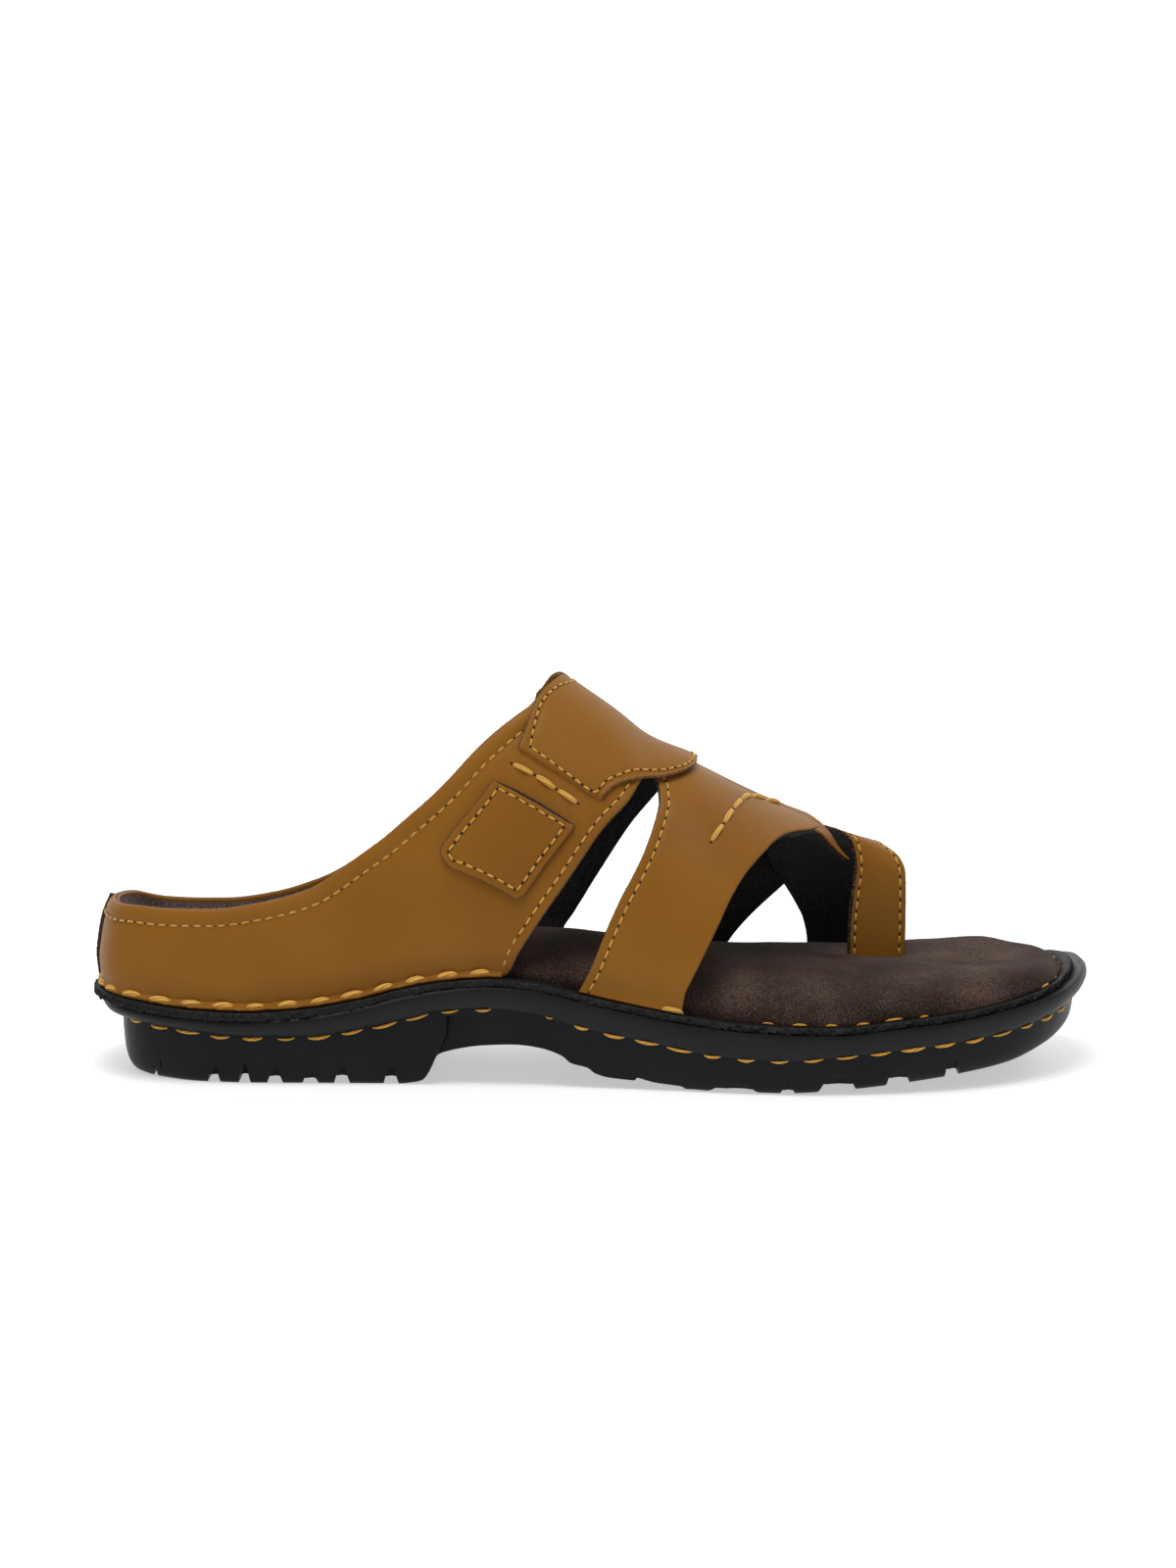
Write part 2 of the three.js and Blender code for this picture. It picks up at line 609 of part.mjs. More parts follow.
// Wedges out of the tread's edge, narrower at their top
function notchCutters() {
  const cutters = [];
  NOTCHES.at.forEach((at, i) => {
    const halfWide = LENGTH * NOTCHES.wide[i] / 2;
    const top = baseHeight(at) + SIDE_HEIGHT * NOTCHES.high[i];
    const shape = new THREE.Shape();
    shape.moveTo(-halfWide, -SIDE_HEIGHT);
    shape.lineTo(halfWide, -SIDE_HEIGHT);
    shape.lineTo(halfWide, 0);
    shape.lineTo(halfWide * NOTCH_TAPER, top);
    shape.lineTo(-halfWide * NOTCH_TAPER, top);
    shape.lineTo(-halfWide, 0);
    for (const side of [OUTER, INNER]) {
      const reach = Math.abs(planPoint(side, at, NOTCH_REACH).y);
      const cutter = new THREE.ExtrudeGeometry(shape, { depth: WIDTH - reach, bevelEnabled: false });
      cutters.push(cutter.rotateX(Math.PI / 2).translate(alongX(at), side === OUTER ? -reach : WIDTH, 0));
    }
  });
  return cutters;
}

function makeMidsole() {
  return layer(MIDSOLE_SIDE.up.map((up, i) => ({
    setback: (at) => THREE.MathUtils.lerp(
      soleSetback('bulge', at), soleSetback('groove', at), MIDSOLE_SIDE.back[i]),
    height: (at) => THREE.MathUtils.lerp(seamHeight(at) + CLEARANCE / 2, rimHeight(at), up),
  })));
}

function makeBoard() {
  return layer([0, 1].map((up) => ({
    setback: (at) => soleSetback('board', at),
    height: (at) => rimHeight(at) + CLEARANCE + up * BOARD,
  })));
}

// Domed footbed with a slot for the ring's near leg
function makeFootbed() {
  const edge = (at, side) => SETBACK * column(PAD, side === OUTER ? 'outer' : 'inner', at);
  const rings = [{ setback: edge, height: (at) => boardTop(at) + CLEARANCE }];
  for (const step of PAD_STEPS) {
    const crown = (1 - (1 - step) ** PAD_ROUNDNESS) ** (1 / PAD_ROUNDNESS);
    const lifted = THREE.MathUtils.lerp(PAD_LIP, 1, crown);
    rings.push({
      setback: (at, side) => edge(at, side) + PAD_CROWN * step,
      height: (place, at) => boardTop(place) + CLEARANCE + lifted * PAD_RISE * column(PAD, 'rise', at),
    });
  }
  return cutBy(layer(rings), [ringSlot()]);
}

function ringSlot() {
  const rear = scaledEdge(RING, 0, 0);
  const front = scaledEdge(RING, 0, 1);
  const slot = new THREE.BoxGeometry(
    front.x - rear.x + 2 * CLEARANCE, STRAP_WALL + 2 * CLEARANCE, 2 * SIDE_HEIGHT);
  return slot.translate((rear.x + front.x) / 2, rear.y + STRAP_WALL / 2, rear.z + SIDE_HEIGHT / 2);
}

// Quarters, instep band, vamp, tongue and toe ring, sewn into one wall
function makeUpper() {
  return joined([quarters(), flange(), vamp(), tongue(), ring()]);
}

// Once around the foot: crest, outer side, heel, inner side and back to the crest
function quarters() {
  const pointAt = (u, v) => {
    const outer = u <= 0.5;
    const data = outer ? QUARTER_OUTER : QUARTER_INNER;
    const share = outer ? 1 - 2 * u : 2 * u - 1;
    return ribPoint(data, share, v, (at, turn) => lastPoint(outer ? OUTER : INNER, at, turn));
  };
  return wall(pointAt, QUARTER_STEPS, 0, WALL, true);
}

// Turned-out foot of the quarters on the board
function flange() {
  const last = QUARTER_OUTER.fromTurn.lastIndexOf(0);
  const endOuter = QUARTER_OUTER.fromAt[last];
  const endInner = QUARTER_INNER.fromAt[last];
  const points = [];
  for (let i = 0; i <= FLANGE_STEPS; i += 1) {
    const walk = THREE.MathUtils.lerp(-angleOf(endOuter), angleOf(endInner), i / FLANGE_STEPS);
    const side = walk < 0 ? OUTER : INNER;
    const at = atOfAngle(Math.abs(walk));
    const feather = SETBACK * column(SECTION, side === OUTER ? 'featherOuter' : 'featherInner', at);
    const inside = planPoint(side, at, feather + CREASE + WALL / 2);
    const outside = planPoint(side, at, soleSetback('board', at) + FLANGE_EDGE);
    for (const [flat, rise] of [[inside, 0], [outside, 0], [outside, FLANGE], [inside, FLANGE]]) {
      points.push(new THREE.Vector3(flat.x, flat.y, boardTop(shareOfX(flat.x)) + CLEARANCE + rise));
    }
  }
  const triangles = [[0, 1, 2], [0, 2, 3]];
  for (let i = 0; i < FLANGE_STEPS; i += 1) {
    for (let k = 0; k < 4; k += 1) {
      const [a, b] = [4 * i + k, 4 * i + (k + 1) % 4];
      triangles.push([a, a + 4, b + 4], [a, b + 4, b]);
    }
  }
  const end = 4 * FLANGE_STEPS;
  triangles.push([end, end + 2, end + 1], [end, end + 3, end + 2]);
  return solidOf(points, triangles);
}

function vamp() {
  const pointAt = (u, v) => ribPoint(VAMP, u, v, lastAround);
  return wall(pointAt, VAMP_STEPS, STRAP_SINK, STRAP_SINK + STRAP_WALL);
}

function freeStrap(data, steps) {
  const pointAt = (u, v) => scaledEdge(data, u, 0).lerp(scaledEdge(data, u, 1), v);
  return wall(pointAt, steps, 0, STRAP_WALL);
}

const ring = () => freeStrap(RING, RING_STEPS);
const tongue = () => freeStrap(TONGUE, TONGUE_STEPS);

const makeSaddle = () => wall(
  (u, v) => ribPoint(SADDLE, u, v, lastAround), SADDLE_STEPS, -CLEARANCE - OVERLAY, -CLEARANCE);
const makePatch = () => wall(
  (u, v) => ribPoint(PATCH, u, v, lastAround), PATCH_STEPS, -CLEARANCE - OVERLAY, -CLEARANCE);

const finish = (color, roughness) => new THREE.MeshStandardMaterial({ color, roughness, metalness: 0 });
const LEATHER = finish(0x9a6426, 0.55);
const RUBBER = finish(0x1b1c1e, 0.6);
const EDGE_BLACK = finish(0x141414, 0.85);
const SUEDE = finish(0x3f2d29, 0.95);

const sandal = new THREE.Group();
for (const [name, geometry, material] of [
  ['outsole', makeOutsole(), RUBBER],
  ['midsole', makeMidsole(), RUBBER],
  ['welt_board', makeBoard(), EDGE_BLACK],
  ['footbed', makeFootbed(), SUEDE],
  ['upper', makeUpper(), LEATHER],
  ['instep_saddle', makeSaddle(), LEATHER],
  ['quarter_patch', makePatch(), LEATHER],
]) {
  const mesh = new THREE.Mesh(geometry, material);
  mesh.name = name;
  sandal.add(mesh);
}

export default sandal;
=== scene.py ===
# Toe-ring sandal for the right foot: tan leather upper sewn onto a black rubber sole, with a suede footbed.
# Toe towards +X, the foot's outer side -Y, +Z up. Sizes are in millimetres and meshes in metres.
import math

import bpy
import numpy as np
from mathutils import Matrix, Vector


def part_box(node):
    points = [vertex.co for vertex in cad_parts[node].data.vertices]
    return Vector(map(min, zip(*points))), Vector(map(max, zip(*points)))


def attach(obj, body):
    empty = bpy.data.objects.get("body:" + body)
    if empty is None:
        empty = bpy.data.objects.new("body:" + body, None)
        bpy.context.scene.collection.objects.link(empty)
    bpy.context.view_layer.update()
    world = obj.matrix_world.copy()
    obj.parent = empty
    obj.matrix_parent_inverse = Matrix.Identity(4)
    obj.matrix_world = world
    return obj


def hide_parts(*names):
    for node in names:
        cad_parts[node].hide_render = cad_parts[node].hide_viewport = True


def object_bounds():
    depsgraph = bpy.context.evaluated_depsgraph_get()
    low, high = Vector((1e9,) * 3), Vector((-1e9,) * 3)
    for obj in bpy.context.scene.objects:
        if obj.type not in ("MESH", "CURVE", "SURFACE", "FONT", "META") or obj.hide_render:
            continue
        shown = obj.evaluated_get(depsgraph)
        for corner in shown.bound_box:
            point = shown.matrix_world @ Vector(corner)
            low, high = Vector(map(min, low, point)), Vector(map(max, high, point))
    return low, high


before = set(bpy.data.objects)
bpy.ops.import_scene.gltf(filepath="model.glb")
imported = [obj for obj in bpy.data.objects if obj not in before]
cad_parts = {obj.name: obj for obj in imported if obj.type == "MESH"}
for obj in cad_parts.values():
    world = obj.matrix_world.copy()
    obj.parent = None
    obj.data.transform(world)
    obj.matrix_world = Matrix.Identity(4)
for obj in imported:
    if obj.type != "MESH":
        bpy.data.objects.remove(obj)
cad_low, cad_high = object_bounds()


# Outsole
# Black rubber, moulded in one piece: a heel block and a long forefoot with notched lugs along both edges,
# and a waist that arches up between them. The rest of the shoe is built up on it.
MM = 0.001
BODY = "root"
LENGTH = round((cad_high.x - cad_low.x) / MM)
sole_low, sole_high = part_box("midsole")
WIDTH = round((sole_high.y - sole_low.y) / MM)
SIDE_HEIGHT = round(sole_high.z / MM)
SETBACK = 10
SEAM_GAP = 0.3
CREASE_GAP = 0.02
OUTER, INNER = -1, 1
SOLE_STATIONS = 240
TREAD_CHANNEL = 1.3        # depth of the channels that carry the notches on under the sole
TREAD_RIB = 9              # half width of the plain rib down the middle of the tread
NOTCH_REACH = 28
NOTCH_TAPER = 0.7
SCOOP_RADIUS, SCOOP_DEPTH, SCOOP_RISE = 4.0, 0.9, 1.5
STEP_DEPTH, STEP_END = 1.7, 0.5
STEP_EDGE = [(0.334, 0), (0.340, 5), (0.346, 8.6), (0.352, 12), (0.357, 16), (0.3575, 22)]
RUBBER_EDGE = 0.35         # rounding of the moulded edges
TREAD_BLACK, TREAD_BLOOM = (0.0054, 0.0059, 0.0072), (0.0090, 0.0097, 0.0117)

# Plan of the sole: share of the length, outer and inner edge in shares of half the width
PLAN = np.array([
    [0.000, 0.020, 0.020], [0.020, -0.430, 0.460], [0.060, -0.605, 0.625], [0.110, -0.685, 0.700],
    [0.170, -0.715, 0.722], [0.250, -0.725, 0.710], [0.340, -0.735, 0.665], [0.420, -0.755, 0.640],
    [0.500, -0.800, 0.660], [0.580, -0.880, 0.740], [0.650, -0.960, 0.850], [0.715, -1.000, 0.950],
    [0.780, -0.975, 1.000], [0.840, -0.900, 0.995], [0.890, -0.780, 0.950], [0.930, -0.640, 0.880],
    [0.965, -0.440, 0.760], [0.988, -0.190, 0.600], [1.000, 0.200, 0.200]])

# Side of the sole: share of the length; heights of rim, stitched seam and tread in shares of the side height;
# setbacks of the board, the midsole's bulge, the seam and the tread's edge in shares of the setback
SOLE = np.array([
    [0.00, 0.778, 0.590, 0.000, 0.00, 0.22, 0.80, 1.35], [0.04, 0.744, 0.570, 0.000, 0.00, 0.14, 0.62, 1.05],
    [0.10, 0.680, 0.517, 0.000, 0.00, 0.08, 0.38, 0.66], [0.16, 0.652, 0.469, 0.000, 0.04, 0.04, 0.30, 0.56],
    [0.22, 0.692, 0.474, 0.000, 0.06, 0.00, 0.28, 0.56], [0.28, 0.800, 0.566, 0.000, 0.10, 0.00, 0.26, 0.55],
    [0.32, 0.903, 0.662, 0.000, 0.12, 0.00, 0.24, 0.52], [0.36, 0.969, 0.752, 0.000, 0.12, 0.00, 0.20, 0.50],
    [0.40, 1.000, 0.779, 0.000, 0.12, 0.00, 0.16, 0.46], [0.44, 0.972, 0.745, 0.000, 0.12, 0.00, 0.14, 0.45],
    [0.50, 0.838, 0.592, 0.000, 0.12, 0.00, 0.12, 0.45], [0.56, 0.724, 0.480, 0.000, 0.13, 0.00, 0.10, 0.48],
    [0.62, 0.641, 0.378, 0.000, 0.14, 0.00, 0.10, 0.50], [0.68, 0.605, 0.345, 0.000, 0.15, 0.00, 0.10, 0.50],
    [0.74, 0.595, 0.383, 0.030, 0.17, 0.00, 0.10, 0.50], [0.80, 0.648, 0.440, 0.085, 0.19, 0.00, 0.10, 0.50],
    [0.86, 0.692, 0.490, 0.145, 0.22, 0.00, 0.10, 0.50], [0.91, 0.755, 0.548, 0.208, 0.25, 0.00, 0.12, 0.50],
    [0.95, 0.820, 0.614, 0.322, 0.28, 0.00, 0.16, 0.50], [0.98, 0.908, 0.686, 0.430, 0.30, -0.08, 0.20, 0.52],
    [1.00, 1.000, 0.741, 0.510, 0.30, -0.18, 0.24, 0.54]])
SOLE_COLUMNS = {"rim": 1, "seam": 2, "tread": 3, "board": 4, "bulge": 5, "groove": 6, "foot": 7}

# Hollow of the waist: share of the length, height in shares of the side height
ARCH = [[0.316, 0.000], [0.334, 0.040], [0.344, 0.175], [0.350, 0.295], [0.364, 0.350], [0.395, 0.405],
        [0.425, 0.420], [0.450, 0.395], [0.472, 0.320], [0.481, 0.249], [0.497, 0.207], [0.5045, 0.152],
        [0.519, 0.111], [0.5425, 0.093], [0.546, 0.122], [0.562, 0.080], [0.589, 0.045], [0.593, 0.017],
        [0.605, 0.012], [0.612, 0.000]]

# Notches between the lugs: share of the length, width in shares of the length, height of the side height
NOTCHES = [[0.0680, 0.005, 0.120], [0.1290, 0.013, 0.085], [0.1595, 0.012, 0.100],
           [0.1895, 0.016, 0.080], [0.2245, 0.016, 0.060], [0.2555, 0.016, 0.090],
           [0.3040, 0.015, 0.085], [0.6390, 0.050, 0.050], [0.6910, 0.015, 0.050],
           [0.7395, 0.041, 0.088], [0.7985, 0.028, 0.085], [0.8520, 0.018, 0.090]]

# Profiles from the foot of a rubber layer up: share of its height, share of its setback
OUTSOLE_SIDE = [[0, 1], [0.06, 0.58], [0.22, 0.24], [0.5, 0.07], [0.85, 0], [1, 0]]
MIDSOLE_SIDE = [[0, 1], [0.14, 0.55], [0.36, 0.14], [0.62, 0], [0.86, 0.06], [1, 0.3]]


def smooth(x, y, at):
    """Curve through points (x, y) that never overshoots them."""
    x, y = np.asarray(x, float), np.asarray(y, float)
    held = np.clip(at, x[0], x[-1])
    run = np.diff(x)
    slope = np.diff(y) / run
    bend = np.zeros(len(x))
    bend[0], bend[-1] = slope[0], slope[-1]
    before, after = slope[:-1], slope[1:]
    turns = before * after > 0
    near, far = 2 * run[1:] + run[:-1], run[1:] + 2 * run[:-1]
    level = (near / np.where(turns, before, 1)) + (far / np.where(turns, after, 1))
    bend[1:-1] = np.where(turns, (near + far) / np.where(turns, level, 1), 0)
    i = np.clip(np.searchsorted(x, held, side="left") - 1, 0, len(x) - 2)
    t = (held - x[i]) / run[i]
    return ((2 * t**3 - 3 * t**2 + 1) * y[i] + (t**3 - 2 * t**2 + t) * run[i] * bend[i]
            + (3 * t**2 - 2 * t**3) * y[i + 1] + (t**3 - t**2) * run[i] * bend[i + 1])


def lerp(a, b, t):
    return a + (b - a) * t


def along_x(at):
    return LENGTH * (at - 0.5)


def share_of_x(x):
    return x / LENGTH + 0.5


def angle_of(at):
    return np.arccos(1 - 2 * np.asarray(at, float)) / math.pi


def at_of_angle(angle):
    return 0.5 - 0.5 * np.cos(math.pi * angle)


def plan_y(side, at):
    edges = [smooth(angle_of(PLAN[:, 0]), PLAN[:, column], angle_of(at)) for column in (1, 2)]
    return WIDTH / 2 * np.where(side == OUTER, edges[0], edges[1])


def plan_inward(side, at):
    """Direction into the sole, square to its edge."""
    step = 0.002
    angle = np.clip(angle_of(at), step, 1 - step)
    before, after = at_of_angle(angle - step), at_of_angle(angle + step)
    dx, dy = along_x(after) - along_x(before), plan_y(side, after) - plan_y(side, before)
    square = np.stack([side * dy, -side * dx], -1)
    square /= np.linalg.norm(square, axis=-1, keepdims=True)
    tips = [(angle_of(at) <= step, (1, 0)), (angle_of(at) >= 1 - step, (-1, 0))]
    for at_tip, straight in tips:
        square = np.where(at_tip[..., None], straight, square)
    return square


def plan_middle(at):
    """Point of the sole's middle line that the place's setbacks head for."""
    middle = 0.12 + 0.76 * at
    return np.stack([along_x(middle), (plan_y(OUTER, middle) + plan_y(INNER, middle)) / 2], -1)


def plan_point(side, at, setback):
    side, at, setback = np.broadcast_arrays(side, at, setback)
    edge = np.stack([along_x(at), plan_y(side, at)], -1)
    way = plan_middle(at) - edge
    reach = (way * plan_inward(side, at)).sum(-1)
    return edge + way * (setback / reach)[..., None]


def sole(name, at):
    scale = SIDE_HEIGHT if name in ("rim", "seam", "tread") else SETBACK
    return scale * smooth(SOLE[:, 0], SOLE[:, SOLE_COLUMNS[name]], at)


def circuit(stations):
    """Sides and places once around the sole, heel tip first along the outer side."""
    turn = np.arange(2 * stations)
    side = np.where(turn <= stations, OUTER, INNER)
    return side, at_of_angle(np.where(turn <= stations, turn, 2 * stations - turn) / stations)


def rounds(rings, first=0):
    """Faces between closed rings of points, one after another."""
    count, around = rings
    a = first + np.arange(count - 1)[:, None] * around + np.arange(around)
    b = first + np.arange(count - 1)[:, None] * around + (np.arange(around) + 1) % around
    return np.stack([a, b, b + around, a + around], -1).reshape(-1, 4).tolist()


def closing(stations, start):
    """Faces across the sole that close a ring of its circuit."""
    around = 2 * stations
    faces = []
    for i in range(stations):
        face = [start + i, start + i + 1, start + around - i - 1, start + (around - i) % around]
        faces.append(list(dict.fromkeys(face)))
    return faces


def facing_out(points, faces):
    """Faces turned so that the closed surface faces out."""
    volume = 0
    for corners in (3, 4):
        same = np.array([face for face in faces if len(face) == corners])
        for k in range(1, corners - 1):
            if len(same):
                a, b, c = points[same[:, 0]], points[same[:, k]], points[same[:, k + 1]]
                volume += (a * np.cross(b, c)).sum()
    return faces if volume > 0 else [face[::-1] for face in faces]


def made(name, points, faces, finishes, which=None, sharp=50, lay=None):
    """Mesh piece that rides on the shoe's body. which: the finish of each face; lay: its thread's lay."""
    points = np.asarray(points, float).reshape(-1, 3)
    mesh = bpy.data.meshes.new(name)
    mesh.from_pydata((points * MM).tolist(), [], faces)
    for finish in finishes:
        mesh.materials.append(finish)
    if which is not None:
        mesh.polygons.foreach_set("material_index", np.asarray(which, np.int32))
    if lay is not None:
        mesh.uv_layers.new(name="lay").data.foreach_set("uv", np.asarray(lay, np.float32).ravel())
    mesh.polygons.foreach_set("use_smooth", np.ones(len(mesh.polygons), bool))
    mesh.validate()
    mesh.set_sharp_from_angle(angle=math.radians(sharp))
    piece = bpy.data.objects.new(name, mesh)
    bpy.context.scene.collection.objects.link(piece)
    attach(piece, BODY)
    return piece


def sole_layer(name, rings, finishes, stations=SOLE_STATIONS):
    """Layer of the sole from its rings, lowest first: each gives a setback and a height at every place."""
    side, at = circuit(stations)
    points = []
    for setback, height in rings:
        flat = plan_point(side, at, setback(side, at))
        points.append(np.column_stack([flat, height(share_of_x(flat[:, 0]), at)]))
    around = 2 * stations
    faces = rounds((len(rings), around))
    faces += [face[::-1] for face in closing(stations, 0)] + closing(stations, (len(rings) - 1) * around)
    points = np.concatenate(points)
    return made(name, points, facing_out(points, faces), finishes)


def profile(rows, steps):
    """A profile's points with more steps between them."""
    rows = np.array(rows, float)
    length = np.arange(len(rows))
    at = np.linspace(0, len(rows) - 1, steps)
    return np.column_stack([smooth(length, rows[:, 0], at), smooth(length, rows[:, 1], at)])


def node(tree, kind, sockets=None, **settings):
    """Material node with its settings, socket values and links."""
    new = tree.nodes.new("ShaderNode" + kind)
    for key, value in settings.items():
        setattr(new, key, value)
    for socket, value in (sockets or {}).items():
        if isinstance(value, bpy.types.NodeSocket):
            tree.links.new(value, new.inputs[socket])
        else:
            new.inputs[socket].default_value = value
    return new


def ramp(tree, factor, stops):
    """Colours blended by a factor. stops: place and linear colour."""
    new = node(tree, "ValToRGB", {"Fac": factor})
    elements = new.color_ramp.elements
    while len(elements) < len(stops):
        elements.new(0.5)
    for element, (place, colour) in zip(elements, stops):
        element.position = place
        element.color = (*colour, 1)
    return new.outputs["Color"]


def grain(tree, scale, detail=2.0, kind="Noise", **sockets):
    """Texture in the shoe's own frame. scale: how many to the metre."""
    coordinates = node(tree, "TexCoord").outputs["Object"]
    settings = {"Vector": coordinates, "Scale": scale, **sockets}
    if kind == "Noise":
        settings["Detail"] = detail
    texture = node(tree, "Tex" + kind, settings)
    return texture.outputs["Distance" if kind == "Voronoi" else "Fac"]


def between(tree, factor, low, high):
    return node(tree, "MapRange", {"Value": factor, "To Min": low, "To Max": high}).outputs["Result"]


def bumped(tree, layers):
    """Normal from bump layers, each (height, strength, distance in millimetres)."""
    normal = None
    for height, strength, distance in layers:
        sockets = {"Height": height, "Strength": strength, "Distance": distance * MM}
        if normal is not None:
            sockets["Normal"] = normal
        normal = node(tree, "Bump", sockets).outputs["Normal"]
    return normal


def finish(name, **sockets):
    """New material, its node tree and its shader with the named sockets set."""
    material = bpy.data.materials.new(name)
    material.use_nodes = True
    shader = material.node_tree.nodes["Principled BSDF"]
    for socket, value in sockets.items():
        shader.inputs[socket.replace("_", " ")].default_value = value
    return material, material.node_tree, shader


def dressed(tree, shader, **links):
    for socket, value in links.items():
        tree.links.new(value, shader.inputs[socket.replace("_", " ")])


def rubber_finish(name, black, bloom, gloss):
    """Black rubber with a faint cloudy bloom and the fine grain of its mould."""
    material, tree, shader = finish(name, Specular_IOR_Level=gloss)
    dressed(tree, shader,
            Base_Color=ramp(tree, grain(tree, 55, 4), [(0.35, black), (0.75, bloom)]),
            Roughness=between(tree, grain(tree, 140, 3), 0.36, 0.52),
            Normal=bumped(tree, [(grain(tree, 90, 3), 0.25, 0.5), (grain(tree, 2200, 2), 0.3, 0.1)]))
    return material


tread_rubber = rubber_finish("tread_rubber", TREAD_BLACK, TREAD_BLOOM, 0.13)


def cutter(name, points, faces):
    """Closed shape that is only used to carve a piece."""
    around = points - points.mean(0)
    fans = [[face[0], face[k], face[k + 1]] for face in faces for k in range(1, len(face) - 1)]
    a, b, c = (around[[fan[k] for fan in fans]] for k in range(3))
    if (a * np.cross(b, c)).sum() < 0:
        faces = [face[::-1] for face in faces]
    mesh = bpy.data.meshes.new(name)
    mesh.from_pydata((points * MM).tolist(), [], faces)
    shape = bpy.data.objects.new(name, mesh)
    bpy.context.scene.collection.objects.link(shape)
    return shape


def prism(name, outline, low_y, high_y):
    """Cutter: an outline in the side view, drawn out across the sole."""
    count = len(outline)
    points = [(x, y, z) for y in (low_y, high_y) for x, z in outline]
    faces = [list(range(count)), list(range(count, 2 * count))[::-1]]
    faces += [[i, i + count, (i + 1) % count + count, (i + 1) % count] for i in range(count)]
    return cutter(name, np.array(points, float), faces)


def carve(piece, cutters):
    """Takes the cutters out of a piece."""
    bpy.context.view_layer.objects.active = piece
    for shape in cutters:
        cut = piece.modifiers.new("carve", "BOOLEAN")
        cut.operation, cut.solver, cut.object = "DIFFERENCE", "EXACT", shape
        bpy.ops.object.modifier_apply(modifier=cut.name)
        bpy.data.objects.remove(shape)


def side_setback(at, z):
    """Setback of the outsole's side at a height."""
    up = (z - sole("tread", at)) / (sole("seam", at) - sole("tread", at))
    rows = np.array(OUTSOLE_SIDE)
    return lerp(sole("groove", at), sole("foot", at), smooth(rows[:, 0], rows[:, 1], np.clip(up, 0, 1)))


def waist_step(side):
    """The waist lies a little further in than the heel block's front edge, and runs out again forward."""
    along, up = np.meshgrid(np.linspace(0, 1, 40), np.linspace(0, 1, 14), indexing="ij")
    height = lerp(-1.0, SIDE_HEIGHT * 0.7, up)
    edge = smooth([row[1] for row in STEP_EDGE], [row[0] for row in STEP_EDGE], height)
    at = lerp(edge, STEP_END, along)
    depth = lerp(STEP_DEPTH, -0.3, along**0.8)
    z = np.minimum(height, sole("seam", at) - 0.01)
    near, far = (plan_point(side, at, setback) for setback in (side_setback(at, z) + depth, -4 + 0 * at))
    grids = [np.concatenate([flat, z[..., None]], -1).reshape(-1, 3) for flat in (near, far)]
    return cutter("waist_step", np.concatenate(grids), slab_faces(*along.shape))


def slab_faces(columns, rows):
    """Faces of a closed slab between two grids of points."""
    index = np.arange(columns * rows).reshape(columns, rows)
    a, b, c, d = index[:-1, :-1], index[1:, :-1], index[1:, 1:], index[:-1, 1:]
    sheet = np.stack([a, b, c, d], -1).reshape(-1, 4)
    rim = np.concatenate([index[:, 0], index[-1, 1:], index[-2::-1, -1], index[0, -2:0:-1]])
    band = np.stack([np.roll(rim, -1), rim, rim + columns * rows, np.roll(rim, -1) + columns * rows], -1)
    return sheet.tolist() + (sheet[:, ::-1] + columns * rows).tolist() + band.tolist()


def scoop(side, at, wide, high):
    """Shallow hollow in the side above a notch, rounded like the end of a spoon."""
    z = float(sole("tread", at)) + high
    flat = plan_point(side, at, float(side_setback(at, z)) - SCOOP_RADIUS + SCOOP_DEPTH)
    turn, rise = np.meshgrid(np.arange(12) * math.pi / 6, np.linspace(-0.98, 0.98, 9))
    around = np.sqrt(1 - rise**2)
    along = flat[0] + wide * around * np.cos(turn)
    across = flat[1] + SCOOP_RADIUS * around * np.sin(turn)
    points = np.stack([along, across, z + high * SCOOP_RISE * rise], -1).reshape(-1, 3)
    faces = rounds((9, 12)) + [list(range(12))[::-1], list(range(96, 108))]
    return cutter("scoop", points, faces)


def tread_cutters():
    waist = [(along_x(at), SIDE_HEIGHT * high) for at, high in profile(ARCH, 96)]
    below = [(waist[-1][0], -SIDE_HEIGHT), (waist[0][0], -SIDE_HEIGHT)]
    cutters = [prism("waist_hollow", waist + below, -WIDTH, WIDTH), waist_step(OUTER), waist_step(INNER)]
    for at, wide, high in NOTCHES:
        half, base = LENGTH * wide / 2, float(sole("tread", at))
        top = base + SIDE_HEIGHT * high
        notch = [(-half, -SIDE_HEIGHT), (half, -SIDE_HEIGHT), (half, 0), (half * NOTCH_TAPER, top),
                 (-half * NOTCH_TAPER, top), (-half, 0)]
        channel = [(-half * 0.6, -SIDE_HEIGHT), (half * 0.6, -SIDE_HEIGHT),
                   (half * 0.4, base + TREAD_CHANNEL), (-half * 0.4, base + TREAD_CHANNEL)]
        for side in (OUTER, INNER):
            reach = abs(plan_point(side, at, NOTCH_REACH)[1])
            for outline, inmost in ((notch, reach), (channel, TREAD_RIB)):
                placed = [(along_x(at) + x, z) for x, z in outline]
                ends = sorted((side * inmost, side * (WIDTH if outline is notch else reach + 1)))
                cutters.append(prism("lug_gap", placed, *ends))
            cutters.append(scoop(side, at, half * 0.8, SIDE_HEIGHT * high))
    return cutters


